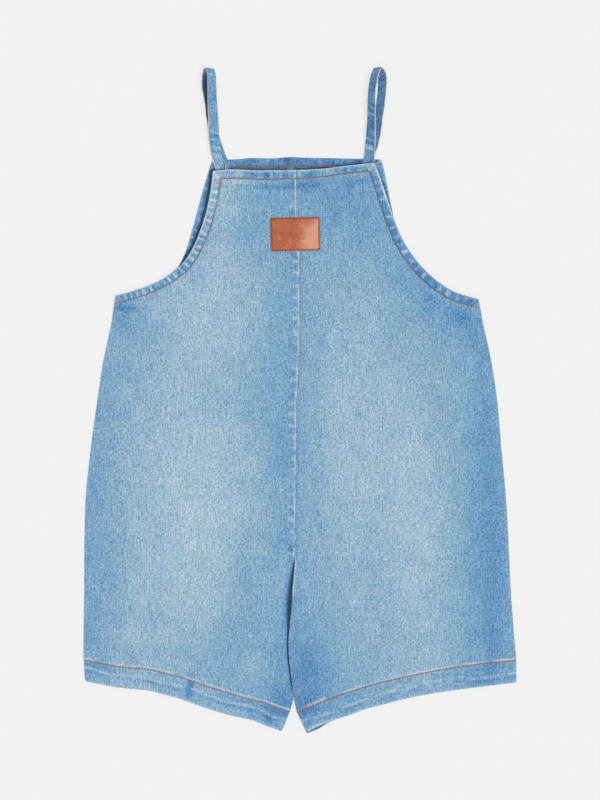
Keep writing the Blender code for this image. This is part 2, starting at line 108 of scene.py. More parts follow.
# Paler and darker patches of the front's wash; those along the underarm creases are painted shade and light
FRONT_WASH = [
    Wash(-94, -100, 90, 150, 60, 1.45),
    Wash(-78, 74, 68, 62, 46, 0.85),
    Wash(-66, 165, 80, 55, 13, 0.8),
    Wash(104, -92, 91, 165, 35, 1.2),
    Wash(44, -40, 90, 150, 34, 0.95),
    Wash(-150, -242, 0, 30, 22, 0.45),
    Wash(120, -245, 8, 30, 20, 0.3),
    Wash(50, 178, 0, 55, 26, -0.75),
    Wash(118, 86, -40, 62, 16, -0.75),
    Wash(-16, -20, 90, 160, 14, -0.45),
    Wash(4, -255, 98, 46, 26, -1.0),
    Wash(-188, -90, 90, 170, 13, -0.4),
    Wash(172, -90, 92, 175, 16, -0.85),
    Wash(-160, 70, -40, 26, 10, -0.6),
    Wash(-70, -230, -15, 42, 22, -0.5),
    Wash(-25, 192, 0, 26, 3.0, -1.4),
    Wash(8, 194, -4, 11, 4.5, -1.1),
    Wash(-57, 195, 0, 12, 1.1, 1.6),
    Wash(-31, 202, 84, 4, 3.0, -1.3),
    Wash(-15, 202, 80, 4, 2.2, -1.1),
    Wash(8, 202, 86, 5, 3.2, -1.4),
    Wash(-45, 203, 80, 3, 3.0, -0.8),
    Wash(56, 197, 4, 10, 2.6, -1.0),
    Wash(-158, 83, -6, 14, 3.4, -1.7),
    Wash(145, 76, -20, 12, 6, -0.9),
    Wash(116, 93, -40, 10, 5, -0.6),
    Wash(-99, -258, 82, 10, 2.6, -2.8),
    Wash(-28, -287, 70, 7, 4.0, -1.6),
    Wash(-43, -283, 80, 4, 3.0, -0.9),
    Wash(-184, -243, 0, 10, 7, -0.7),
    Wash(-18, -268, -60, 14, 7, -0.5),
    Wash(6, -278, 20, 10, 7, -0.5),
    Wash(166, -252, 12, 14, 6, -0.5),
    Wash(-56, -175, 90, 45, 15, -0.55),
    Wash(172, -205, 90, 75, 13, -0.6),
    Wash(-78, 14, 80, 42, 30, -0.4),
    Wash(120, 5, 90, 58, 12, -0.3),
    Wash(92, 62, 60, 24, 13, -0.4),
    Wash(-148, -182, 90, 42, 14, 0.35),
    Wash(54, -198, 90, 34, 13, 0.3),
    Wash(-42, -240, 0, 16, 11, 0.45),
    Wash(12, -240, 90, 20, 15, -0.35),
    Wash(-55, 194, 0, 18, 5, 0.4),
    Wash(45, 194, 0, 20, 5, -0.4),
    Wash(6, 172, 90, 11, 9, 0.4),
    Wash(-122, 92, -38, 22, 6, 0.4),
    Wash(110, -262, 8, 50, 9, -0.3),
    Wash(-76, 203, 106, 4, 0.9, 1.5),
    Wash(-42, -4, 90, 26, 10, -0.35),
    Wash(100, 18, 90, 26, 12, -0.3),
    Wash(8, -228, 95, 32, 12, -0.35),
    Wash(75, -252, 8, 12, 8, 0.4),
    Wash(-19, -273, 0, 8, 8, -0.5),
    Wash(-66, -200, 90, 15, 10, -0.4),
    Wash(-138, 88, -40, 14, 8, 0.4),
    Wash(69, 205, -62, 6, 3.0, 1.7),
    Wash(-10, -278, 4, 34, 10, -0.75),
    Wash(154, -110, 90, 120, 9, -0.35),
    Wash(-48, -160, 90, 36, 10, -0.35),
    Wash(-48, -236, 0, 10, 11, 0.45),
    Wash(-112, 106, -40, 12, 7, 0.6),
    Wash(42, -279, 20, 12, 9, -0.35),
    Wash(-58, 150, 0, 34, 12, -0.45),
    Wash(132, -28, 60, 12, 9, -0.4),
]
# How far an edge or a stitch row is pulled up the garment
LEG_PULLS = [
    Crease(-117, -252, 0, 24, 30, 2.2),
    Crease(-40, -280, 0, 26, 30, 0.8),
    Crease(-194, -246, 0, 9, 30, 1.1),
    Crease(-166, -248, 0, 9, 30, -0.6),
    Crease(-138, -252, 0, 9, 30, 1.2),
    Crease(-119, -257, 0, 7, 30, -0.4),
    Crease(-76, -280, 0, 24, 10, -0.5),
    Crease(-44, -289, 0, 9, 12, 1.2),
    Crease(-32, -278, 0, 8, 16, 0.8),
    Crease(152, -241, 9, 62, 9, 1.7),
    Crease(45, -284, 20, 10, 12, -1.0),
    Crease(76, -275, 14, 14, 10, -0.7),
]
PULLS = {
    "front": LEG_PULLS + [
        Crease(-64, 207, 0, 18, 16, 1.4),
        Crease(-27, 198, 0, 13, 5, -0.9),
        Crease(2, 199, 0, 12, 5, -0.55),
        Crease(38, 203, 0, 10, 7, 0.6),
    ],
    "back": LEG_PULLS + [
        Crease(-44, 217, 0, 9, 12, 0.7),
        Crease(-9, 218, 0, 8, 12, 0.8),
        Crease(-58, 209, 0, 20, 4.5, 1.0),
        Crease(0, 209.5, 0, 30, 4.5, 0.5),
        Crease(15, -297, 24, 9, 8, -2.6),
    ],
}
BACK_WASH = [
    Wash(-90, -60, 90, 120, 45, 0.45),
    Wash(95, -70, 90, 120, 45, 0.45),
    Wash(-186, -60, 90, 160, 14, -0.5),
    Wash(186, -60, 90, 160, 14, -0.5),
    Wash(72, 214, 0, 7, 7, -1.1),
    Wash(-12, 212, 90, 8, 2.2, -1.6),
    Wash(-30, 213, 80, 7, 3.0, 0.8),
    Wash(30, 213, 95, 8, 2.4, -0.9),
    Wash(50, 212, 90, 10, 6.0, -0.8),
]


# ---------------------------------------------------------------- sizes and colours
def length(label, text, default):
    """A length in metres."""
    return FloatProperty(name=label, description=text, default=default, unit="LENGTH", precision=5)


def colour(label, text, default):
    """A colour as linear red, green and blue."""
    return FloatVectorProperty(
        name=label, description=text, default=default, subtype="COLOR", size=3, min=0.0, max=1.0
    )


class DungareesCloth(bpy.types.PropertyGroup):
    """Sizes of the denim."""

    wall: length("Cloth", "Thickness of one layer of denim", 0.0011)
    fold: length("Fold radius", "Outer radius of a turned edge", 0.0011)
    seam_round: length("Seam radius", "How far the cloth rounds down into the centre seam", 0.0005)
    narrow_hem: length("Narrow hem", "Width of the bib's and armholes' hems", 0.0085)
    leg_hem: length("Leg hem", "Depth of the leg hems", 0.020)
    allowance: length("Seam allowance", "Width of cloth pressed aside at a centre seam", 0.008)
    from_raw: length("Stitch inset", "Distance of a stitch row from the hem's inner edge", 0.0008)


class DungareesThread(bpy.types.PropertyGroup):
    """Sizes of the topstitching."""

    stitch: length("Stitch", "Length of one stitch", 0.0021)
    gap: length("Gap", "Distance between two stitches", 0.0004)
    thick: length("Thread", "Thickness of the thread", 0.00105)
    strap_inset: length("Strap inset", "Distance of a strap's stitch row from its edge", 0.0010)
    label_stitch: length("Label stitch", "Length of one stitch of the label", 0.0011)
    label_gap: length("Label gap", "Distance between two stitches of the label", 0.0006)
    label_inset: length("Label inset", "Distance of the label's stitch row from its edge", 0.0010)


class DungareesColours(bpy.types.PropertyGroup):
    """Colours of the finished garment."""

    # The navy that painted shade mixes in: in the crevices, beside the stitch rows and under the front's
    # edges
    hollow: colour("Navy", "Denim in a crevice", (0.017, 0.058, 0.118))
    # The deep blue: denim less faded at the sides, and painted shade where the tone is lowered in creases
    deep: colour("Deep blue", "Denim in the hollows and at the sides", (0.108, 0.275, 0.512))
    mid: colour("Mid blue", "Denim of the body", (0.216, 0.395, 0.570))
    pale: colour("Pale blue", "Denim where the wash has taken most", (0.365, 0.520, 0.635))
    worn: colour("Worn white", "Abraded edges", (0.660, 0.765, 0.815))
    thread: colour("Thread", "Topstitching", (0.370, 0.125, 0.052))
    faded: colour("Faded thread", "Stitches that the wash has bleached", (0.560, 0.400, 0.350))
    label_thread: colour("Label thread", "Stitches of the label", (0.290, 0.062, 0.024))
    leather: colour("Leather", "Label", (0.490, 0.122, 0.048))
    leather_edge: colour("Leather edge", "Rim of the label", (0.440, 0.090, 0.034))
    floor: colour("Floor", "Table top", (0.300, 0.300, 0.300))
    floor_glow: colour("Floor glow", "Light that comes up through the table top", (0.592, 0.592, 0.592))


class DungareesStudio(bpy.types.PropertyGroup):
    """The camera and the light."""

    height: length("Camera height", "Distance of the camera above the cloth", 1.70)
    view: length("View", "Length of table that the picture's height takes in", 0.72)
    floor_side: length("Floor", "Side of the square table top", 6.0)
    dome: FloatProperty(name="Dome", description="Strength of the soft light all round", default=0.43)
    key: FloatProperty(name="Key", description="Strength of the wide soft lamp", default=1.83)


# ---------------------------------------------------------------- numbers
HILLS = 64


def smooth(value):
    """0 below 0, 1 above 1, and smooth between."""
    value = np.clip(value, 0.0, 1.0)
    return value * value * (3.0 - 2.0 * value)


def unit(vectors):
    """Vectors made one long."""
    return vectors / np.maximum(np.linalg.norm(vectors, axis=-1, keepdims=True), 1e-9)


def uneven(x, y, seed):
    """Smooth uneven values from -1 to 1, with about one hill in each square of side 1."""
    table = np.random.default_rng(seed).uniform(-1.0, 1.0, (HILLS, HILLS))
    i, j = np.floor(x).astype(int), np.floor(y).astype(int)
    u, v = smooth(x - i), smooth(y - j)

    def pick(a, b):
        return table[a % HILLS, b % HILLS]

    near = pick(i, j) * (1 - u) + pick(i + 1, j) * u
    far = pick(i, j + 1) * (1 - u) + pick(i + 1, j + 1) * u
    return near * (1 - v) + far * v


def bell(distance, width):
    """1 at no distance, falling softly to nothing."""
    return np.exp(-((distance / width) ** 2))


def marks(table, x, y):
    """The sum of soft long marks at places on the cloth."""
    total = np.zeros_like(x)
    for mark in table:
        turn = math.radians(mark.turn)
        along = (x - mark.x) * math.cos(turn) + (y - mark.y) * math.sin(turn)
        across = (y - mark.y) * math.cos(turn) - (x - mark.x) * math.sin(turn)
        total += mark[-1] * bell(along, mark.half_length) * bell(across, mark.half_width)
    return total


def curve_weights(samples, last, corners):
    """Rows of weights for a smooth curve through points 0 to last, with a corner at some of them."""
    table = np.zeros((len(samples), last + 1))

    def add_slope(row, index, span, share):
        if index in corners or index in (0, last):
            table[row, span] -= share
            table[row, span + 1] += share
        else:
            table[row, index - 1] -= share / 2
            table[row, index + 1] += share / 2

    for row, sample in enumerate(samples):
        span = min(int(sample), last - 1)
        t = sample - span
        table[row, span] += 2 * t**3 - 3 * t**2 + 1
        table[row, span + 1] += 3 * t**2 - 2 * t**3
        add_slope(row, span, span, t**3 - 2 * t**2 + t)
        add_slope(row, span + 1, span, t**3 - t**2)
    return table


# ---------------------------------------------------------------- reading the CAD
MERGE = 0.001
# The heights from which the cloth is looked for, straight down or all round
RAY_FROM, NEAR_CLOTH = 100.0, 8.0


def merged(node):
    """A CAD node's mesh in millimetres, with its corners merged."""
    mesh = bmesh.new()
    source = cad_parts[node]
    mesh.from_mesh(source.data)
    mesh.transform(source.matrix_world)
    bmesh.ops.scale(mesh, vec=(1 / MM, 1 / MM, 1 / MM), verts=mesh.verts)
    bmesh.ops.remove_doubles(mesh, verts=mesh.verts, dist=MERGE)
    mesh.normal_update()
    return mesh


def outline(node):
    """The upper rim of a flat CAD node, as a ring of points, anticlockwise from above."""
    mesh = merged(node)
    follow = {}
    for edge in mesh.edges:
        flat = [loop for loop in edge.link_loops if loop.face.normal.z > 0.5]
        wall = [loop for loop in edge.link_loops if abs(loop.face.normal.z) < 0.5]
        if len(flat) == 1 and wall:
            follow[flat[0].vert] = flat[0].link_loop_next.vert
    here = min(follow, key=lambda v: (v.co.x, v.co.y))
    ring, start = [], here
    while True:
        ring.append(tuple(here.co))
        here = follow[here]
        if here is start:
            break
    mesh.free()
    return np.array(ring)


def stretch(ring, first, last):
    """The points of a ring from one index on to another."""
    count = (last - first) % len(ring)
    return ring[[(first + k) % len(ring) for k in range(count + 1)]][:, :2]


def run_of(rail):
    """The distance along a rail of each of its points."""
    return np.concatenate([[0.0], np.cumsum(np.linalg.norm(np.diff(rail, axis=0), axis=1))])


def along(rail, distance):
    """Points on a rail at distances from its start."""
    run = run_of(rail)
    return np.stack([np.interp(distance, run, rail[:, k]) for k in range(rail.shape[1])], axis=-1)


def sharpest(rail, low, high):
    """How far along a rail its sharpest corner is, between two distances."""
    run = run_of(rail)[1:-1]
    steps = unit(np.diff(rail, axis=0))
    turn = (steps[:-1] * steps[1:]).sum(axis=1)
    return run[np.argmin(np.where((run > low) & (run < high), turn, 2.0))]


def down_to(rail, y):
    """How far along a rail that runs down the garment a height is reached."""
    return float(np.interp(-y, -rail[:, 1], run_of(rail)))


def mitred(points, sign):
    """At each point of an edge, the way into the cloth, one wide."""
    steps = unit(np.diff(points, axis=0))
    before, after = np.vstack([steps[:1], steps]), np.vstack([steps, steps[-1:]])
    mean = unit(before + after)
    across = np.stack([-mean[:, 1], mean[:, 0]], axis=1) * sign
    return across / np.maximum((mean * after).sum(axis=1), 0.5)[:, None]


def height_on(node, x, y):
    """The height of a CAD node's upper face at places on it."""
    mesh = merged(node)
    tree = BVHTree.FromBMesh(mesh)
    mesh.free()
    found = np.zeros(x.shape)
    for index in np.ndindex(x.shape):
        above = Vector((x[index], y[index], RAY_FROM))
        hit = tree.ray_cast(above, Vector((0, 0, -1)))[0]
        if hit is None:
            above.z = NEAR_CLOTH
            hit = tree.find_nearest(above)[0]
        found[index] = hit.z
    return found


# ---------------------------------------------------------------- a half of the front or back
# The pitch of the coarse rows, the cuts between two coarse rows or columns, the coarse cells between the
# seam and the hem, and the pitch and the turns of the points across a hem and round its edge
ROW_PITCH = 11.5
ROW_CUTS = 7
COLUMN_CUTS = {"front": 9, "back": 7}
CELLS = 7
HEM_PITCH = 1.25
ROUND_TURNS = (90, 66, 44, 22, 0)
PROBE_INSIDE = 0.3
LAYER_GAP = 0.3
LEG_CLOSE = 0.62
# How far the painted shadow of the bib's top edge reaches over the back
SHADOW_REACH = 4.5
# How far the front's painted shadow beside an armhole reaches over the back, how deep it is, where it begins
ARMHOLE_SHADE = {"right": (4.8, 2.0, 300.0), "left": (3.2, 0.8, 211.0)}
# How far up the panel the bow of its bottom reaches and over what run it fades, and the same for its top
BOTTOM_BOW, TOP_BOW = (100.0, 70.0), 25.0
# Where the corners of the underarm and the leg are looked for, and how much higher or lower than the seam's
# end of a row its edge's end is
UNDERARM_CLEAR, LEG_CLEAR = 40.0, (60.0, 8.0)
CROTCH_RISE, UNDERARM_FALL, LEG_SHARE = 12.0, 15.0, 0.8

# How a hem looks beside its stitch row: the pitch of its ropes, the distance between its rungs, how strong
# its rungs and dark patches are, its tone where it begins and further down, how strong its worn fold and
# worn ridge are, and whether its rungs run along it
Hem = namedtuple("Hem", "pitch rung rungs patches tone down edge ridge lengthwise seed")
HEMS = {
    "front_top": Hem(9.0, 9.0, 0.4, 0.9, -0.25, -0.25, 1.1, 0.35, False, 22),
    "front_armhole_right": Hem(6.0, 6.2, 1.2, 0.35, 0.8, -0.75, 0.9, 0.3, False, 21),
    "front_armhole_left": Hem(9.0, 8.5, 1.0, 0.5, -0.6, -1.15, 0.55, 0.15, False, 24),
    "front_leg": Hem(13.0, 6.2, 0.22, 0.5, -0.1, -0.1, 0.35, 0.85, True, 23),
    # The back's hems are dark denim that the wash reached less, partly painted shade under the front's edges
    "back_top": Hem(11.0, 16.0, 0.25, 1.0, -1.6, -1.6, 0.1, 0.2, False, 26),
    "back_armhole_right": Hem(7.0, 9.0, 0.7, 0.4, -1.2, -1.2, 0.4, 0.2, False, 27),
    "back_armhole_left": Hem(7.0, 9.0, 0.7, 0.4, -0.9, -1.3, 0.4, 0.2, False, 28),
    "back_leg": Hem(13.0, 6.2, 0.3, 0.5, -0.3, -0.3, 0.35, 0.7, True, 29),
}
# Beside a stitch row: how wide the worn ridge is and how far in, and how dark the painted shade in its dip
# is, how far in and how wide
Row = namedtuple("Row", "ridge_wide ridge_in hollow hollow_in hollow_wide")
LEG_ROW, NARROW_ROW = Row(1.0, 0.55, 0.36, 0.25, 1.1), Row(0.6, 0.0, 0.5, 0.0, 0.85)
RUNGS_MIDDLE = 85.0
EDGE_WORN = 70.0
SEAM_RUNG = 10.5
LABEL_DOWN = 50.0
SEAM_LEAN = 0.75
UNDERARM_DRAWN = {"right": 1.15, "left": 0.2}
# How far up the leg the turned-in edge shows, and how far across a leg hem's worn inner corner lies
TURNING_UP = {"right": 11.3, "left": 9.2}
INNER_CORNER_X = 17


def quarter_round(radius, turns):
    """Distances from an edge at which its quarter round has a line of points."""
    return [radius * (1 - math.sin(math.radians(turn))) for turn in turns]


def from_edge(width, inset, fold):
    """Distances from a turned edge at which the cloth has a line of points, out to its hem's width."""
    row = width - inset
    count = max(2, round((row - fold) / HEM_PITCH))
    steps = [fold + (row - fold) * k / count for k in range(1, count + 1)]
    return quarter_round(fold, ROUND_TURNS) + steps + [width]


def rounded_corner(a, b):
    """How far two quarter rounds go where they meet, and how deep their corner drops, from 0 to 1."""
    a_round, b_round = a * np.sqrt(1 - b**2 / 2), b * np.sqrt(1 - a**2 / 2)
    return a_round, b_round, 1 - np.sqrt(np.clip(1 - a_round**2 - b_round**2, 0, 1))


class HalfCloth:
    """One half of the front or back: a grid of points that follows its CAD panel.

    Rows run from the centre seam or inner leg out to the free edge. The skin is the cloth's right side,
    which faces up on the front and down on the back.
    """

    def __init__(self, part, side, sizes):
        self.part, self.side = part, side
        self.up = 1 if part == "front" else -1
        self.out = OUTWARD[side]
        self.hem, self.leg = sizes.narrow_hem / MM, sizes.leg_hem / MM
        self.seam_width, self.wall = sizes.allowance / MM, sizes.wall / MM
        self.fold, self.seam_fold = sizes.fold / MM, sizes.seam_round / MM
        self.inset = sizes.from_raw / MM
        self.read_rails()
        self.lay_rows()
        self.refine()
        self.shape()

    def read_rails(self):
        """The four edges of the panel, from its outline."""
        ring = outline(f"{self.part}_{self.side}")
        ring = ring if self.out > 0 else ring[::-1]
        x, y = ring[:, 0] * self.out, ring[:, 1]
        top_seam, top_edge = np.argmax(y - x), np.argmax(y + 0.35 * x)
        hem_edge, hem_seam = np.argmax(x - y), np.argmax(-y - 0.5 * x)
        self.seam = stretch(ring, top_seam, hem_seam)
        self.bottom = stretch(ring, hem_seam, hem_edge)
        self.edge = stretch(ring, hem_edge, top_edge)[::-1]
        self.top = stretch(ring, top_edge, top_seam)[::-1]

    def lay_rows(self):
        """The coarse rows: pairs of points on the free edge and the seam, and what lies between them."""
        edge_end, seam_end = run_of(self.edge)[-1], run_of(self.seam)[-1]
        underarm = sharpest(self.edge, UNDERARM_CLEAR, edge_end - UNDERARM_CLEAR)
        underarm_y = along(self.edge, underarm)[1]
        crotch_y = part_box(f"{self.part}_centre_seam")[0].y / MM
        crotch = down_to(self.seam, crotch_y)
        leg_end = sharpest(self.seam, crotch + LEG_CLEAR[0], seam_end - LEG_CLEAR[1])
        above_hem = seam_end - leg_end - self.leg
        edge_stops = [
            0.0, self.hem, underarm, down_to(self.edge, crotch_y + CROTCH_RISE),
            edge_end - self.leg - above_hem * LEG_SHARE, edge_end - self.leg, edge_end,
        ]
        seam_stops = [
            0.0, self.hem, down_to(self.seam, underarm_y - UNDERARM_FALL), crotch,
            leg_end, seam_end - self.leg, seam_end,
        ]
        edge_at, seam_at, stops = [], [], [0]
        for k in range(6):
            run = edge_stops[k + 1] - edge_stops[k]
            cells = 1 if k in (0, 4, 5) else round(run / ROW_PITCH)
            share = np.arange(cells) / cells
            edge_at += list(edge_stops[k] + run * share)
            seam_at += list(seam_stops[k] + (seam_stops[k + 1] - seam_stops[k]) * share)
            stops.append(stops[-1] + cells)
        self.edge_run, self.seam_run = np.array(edge_at + [edge_end]), np.array(seam_at + [seam_end])
        edge, seam = along(self.edge, self.edge_run), along(self.seam, self.seam_run)
        chord = unit(edge - seam)
        into_edge, into_seam = mitred(edge, -self.out), mitred(seam, self.out)
        ends = [0, 1, len(edge) - 2, len(edge) - 1]
        into_edge[ends], into_seam[ends] = -chord[ends], chord[ends]
        inner, outer = seam + into_seam * self.seam_width, edge + into_edge * self.hem
        share = np.linspace(0.0, 1.0, CELLS + 1)[None, :, None]
        middle = inner[:, None] * (1 - share) + outer[:, None] * share
        points = np.concatenate([seam[:, None], middle, edge[:, None]], axis=1)

        wide = np.linalg.norm(edge - seam, axis=1)[:, None]
        share = np.linalg.norm(points - seam[:, None], axis=2) / wide
        above = edge_end - self.edge_run
        for rail, row, weight in (
            (self.bottom, -1, smooth((BOTTOM_BOW[0] - above) / BOTTOM_BOW[1])),
            (self.top, 0, smooth(1.0 - self.edge_run / TOP_BOW)),
        ):
            straight = seam[row] + (edge[row] - seam[row]) * share[row][:, None]
            bow = along(rail, share[row] * run_of(rail)[-1]) - straight
            points += bow[None] * weight[:, None, None]
        self.coarse = points
        self.last_row, self.last_column = points.shape[0] - 1, points.shape[1] - 1
        self.underarm, self.crotch, self.leg_end = stops[2:5]

    def refine(self):
        """The fine grid through the coarse rows, and the heights read from the CAD panel."""
        coarse, last_row, last_column = self.coarse, self.last_row, self.last_column
        hem, leg, seam = (
            from_edge(width, self.inset, self.fold) for width in (self.hem, self.leg, self.seam_width)
        )
        cuts = COLUMN_CUTS[self.part]
        rows = [s / self.hem for s in hem]
        rows += [1 + k / ROW_CUTS for k in range(1, (last_row - 2) * ROW_CUTS)]
        rows += [last_row - s / self.leg for s in reversed(leg)]
        columns = [s / self.seam_width for s in seam]
        columns += [1 + k / cuts for k in range(1, (last_column - 2) * cuts)]
        columns += [last_column - s / self.hem for s in reversed(hem)]
        self.rows, self.columns = np.array(rows), np.array(columns)
        self.hem_at, self.seam_at = self.line(columns=last_column - 1), self.line(columns=1)
        self.top_at, self.leg_at = self.line(rows=1), self.line(rows=last_row - 1)
        corners = {1, self.underarm, self.crotch, self.leg_end, last_row - 1}
        by_row = curve_weights(rows, last_row, corners)
        by_column = curve_weights(columns, last_column, {1, last_column - 1})

        probe = coarse.copy()
        probe[:, 0] += PROBE_INSIDE * unit(coarse[:, 1] - coarse[:, 0])
        probe[:, -1] += PROBE_INSIDE * unit(coarse[:, -2] - coarse[:, -1])
        probe[0] += PROBE_INSIDE * unit(coarse[1] - coarse[0])
        probe[-1] += PROBE_INSIDE * unit(coarse[-2] - coarse[-1])
        heights = np.zeros(probe.shape[:2])
        if self.up > 0:
            heights = height_on(f"front_{self.side}", probe[..., 0], probe[..., 1])
        full = np.concatenate([coarse, heights[..., None]], axis=2)
        self.grid = np.einsum("ri,ijk,cj->rck", by_row, full, by_column)
        self.edge_along, self.seam_along = by_row @ self.edge_run, by_row @ self.seam_run

    def line(self, rows=None, columns=None):
        """The index of the fine row or column at a coarse place."""
        if rows is not None:
            return int(np.argmin(abs(self.rows - rows)))
        return int(np.argmin(abs(self.columns - columns)))

    def distances(self):
        """How far each point is from the free edge, the seam, the top and the leg hem's fold."""
        flat = self.grid[..., :2]
        columns, rows = self.columns[None, :], self.rows[:, None]

        def from_fold(steps, width, inner_line):
            reach = np.linalg.norm(flat - inner_line, axis=2)
            return np.where(steps < 1, steps * width, width + reach)

        return (
            from_fold(self.last_column - columns, self.hem, flat[:, self.hem_at][:, None]),
            from_fold(columns, self.seam_width, flat[:, self.seam_at][:, None]),
            from_fold(rows, self.hem, flat[self.top_at][None]),
            from_fold(self.last_row - rows, self.leg, flat[self.leg_at][None]),
        )

    def shape(self):
        """The skin of the cloth and of what is turned in, with its wash, wear and shade."""
        up, rows = self.up, self.rows[:, None]
        x, y, ground = np.moveaxis(self.grid, 2, 0)
        edge, _, top, leg = self.off = self.distances()
        self.in_armhole = smooth((self.underarm + 0.4 - rows) / 0.5) * np.ones_like(x)
        self.at_centre = smooth((self.crotch + 0.3 - rows) / 0.6) * np.ones_like(x)
        self.ones = np.ones_like(edge)
        self.dip, self.wear, self.shade, self.tone, self.rope = (np.zeros_like(edge) for _ in range(5))
        self.knots = np.zeros((*edge.shape, 3))
        moved = self.turned_edges()
        self.sew_hems()
        self.turn_legs()
        self.sew_centre()
        self.wear = np.clip(self.wear, 0, 1)
        self.shade = np.clip(self.shade, 0, 1)

        inside = smooth((np.minimum(edge, leg) - self.hem) / 10) * smooth((top - self.hem) / 8)
        folds = marks(FRONT_CREASES if up > 0 else BACK_CREASES, x, y) * inside
        waves = 0.22 * uneven(x / 24, y / 30, 3) + 0.10 * uneven(x / 9, y / 12, 4)
        waves += 0.035 * uneven(x / 3.4, y / 4.2, 5)
        drape = (folds + waves * smooth((edge - 1) / 9) * smooth((leg - 1) / 9)) * (0.3 + 0.7 * inside)
        height = ground + up * (self.dip + drape - self.drop)
        turned = ground - up * (2 * self.fold - self.drop - 0.2 * self.dip)
        if up < 0:
            height = np.maximum(height, 0.0)
        self.skin = np.concatenate([moved, height[..., None]], axis=2)
        self.under = np.concatenate([moved, turned[..., None]], axis=2)
        wash = FRONT_WASH if up > 0 else BACK_WASH
        # The creases are painted into the tone too: painted shade in their valleys, painted light on their
        # ridges
        self.tone += marks(wash, x, y) + 0.5 * folds + 0.16 * uneven(x / 13, y / 19, 8)
        # The front's edges cast a painted shadow on the back: above the bib's top and beside the armholes
        if up < 0:
            apart = self.from_front(x, y)
            above = 0.95 * smooth(1 - apart / SHADOW_REACH) ** 1.6
            reach, depth, top_y = ARMHOLE_SHADE[self.side]
            beside = depth * smooth(1 - apart / reach) * smooth((top_y - y) / 14)
            share = smooth((16 - edge) / 6)
            self.shade = np.clip(self.shade + above * (1 - share) + beside * share, 0, 1)

    def turned_edges(self):
        """Where the points lie when each edge is a quarter round and two meet in a rounded corner."""
        edge, seam, top, leg = self.off
        flat = self.grid[..., :2]
        seam_fold = self.seam_fold + (self.fold - self.seam_fold) * (1.0 - self.at_centre)
        a_edge, a_seam, b_top, b_leg = (
            np.clip(1 - distance / fold, 0, 1)
            for distance, fold in ((edge, self.fold), (seam, seam_fold), (top, self.fold), (leg, self.fold))
        )
        a, b = np.maximum(a_edge, a_seam), np.maximum(b_top, b_leg)
        a_fold = np.where(a_seam > a_edge, seam_fold, self.fold)
        a_round, b_round, deep = rounded_corner(a, b)
        self.drop = (a * a_fold + b * self.fold + 1e-9) / (a + b + 1e-9) * deep
        from_edge_in = unit(flat[:, self.hem_at] - flat[:, -1])[:, None]
        moved = flat.copy()
        for before, after, fold, way in (
            (a_edge, a_round, self.fold, from_edge_in),
            (a_seam, a_round, a_fold, unit(flat[:, self.seam_at] - flat[:, 0])[:, None]),
            (b_top, b_round, self.fold, unit(flat[self.top_at] - flat[0])[None]),
            (b_leg, b_round, self.fold, unit(flat[self.leg_at] - flat[-1])[None]),
        ):
            moved += ((before > 0) * fold * (before - np.minimum(after, before)))[..., None] * way

        # the seams meet, the underarm is drawn in, and the front's centre seam leans
        x, y = self.grid[..., 0], self.grid[..., 1]
        close = 0.14 * bell(seam, 1.2) * self.at_centre
        if self.up < 0:
            by_leg = smooth((self.leg_end - self.rows[:, None]) / 2)
            close = close + LEG_CLOSE * bell(seam, 3.0) * (1.0 - self.at_centre) * by_leg
        moved[..., 0] -= self.out * close
        drawn = UNDERARM_DRAWN[self.side] * np.clip(1 - edge / self.hem, 0, 1) * smooth((122 - y) / 14)
        moved += (drawn * self.in_armhole)[..., None] * from_edge_in
        if self.up > 0:
            down = (self.seam_along - self.seam_run[self.crotch])[:, None]
            lean = SEAM_LEAN + 0.5 * smooth((self.seam_along - LABEL_DOWN) / 25)[:, None]
            moved[..., 0] += lean * bell(seam, 26.0) * smooth((90.0 - down) / 35.0)
        moved[..., 1] += marks(PULLS[self.part], x, y)
        return moved

    def from_front(self, x, y):
        """How far places on the back are from the front's outline, without its centre seam."""
        ring = outline(f"front_{self.side}")[:, :2]
        ring = np.vstack([ring, ring[:1]])
        rim = along(ring, np.arange(0.0, run_of(ring)[-1], 1.0))
        hem_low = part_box(f"front_top_hem_{self.side}")[0].y / MM
        rim = rim[(rim[:, 0] * self.out > self.seam_width) | (rim[:, 1] > hem_low)]
        tree = KDTree(len(rim))
        for index, (rim_x, rim_y) in enumerate(rim):
            tree.insert((rim_x, rim_y, 0.0), index)
        tree.balance()
        found = np.full(x.shape, 99.0)
        for index in zip(*np.nonzero(self.rows[:, None] * np.ones_like(x) < self.underarm + 2)):
            found[index] = tree.find((x[index], y[index], 0.0))[2]
        return found

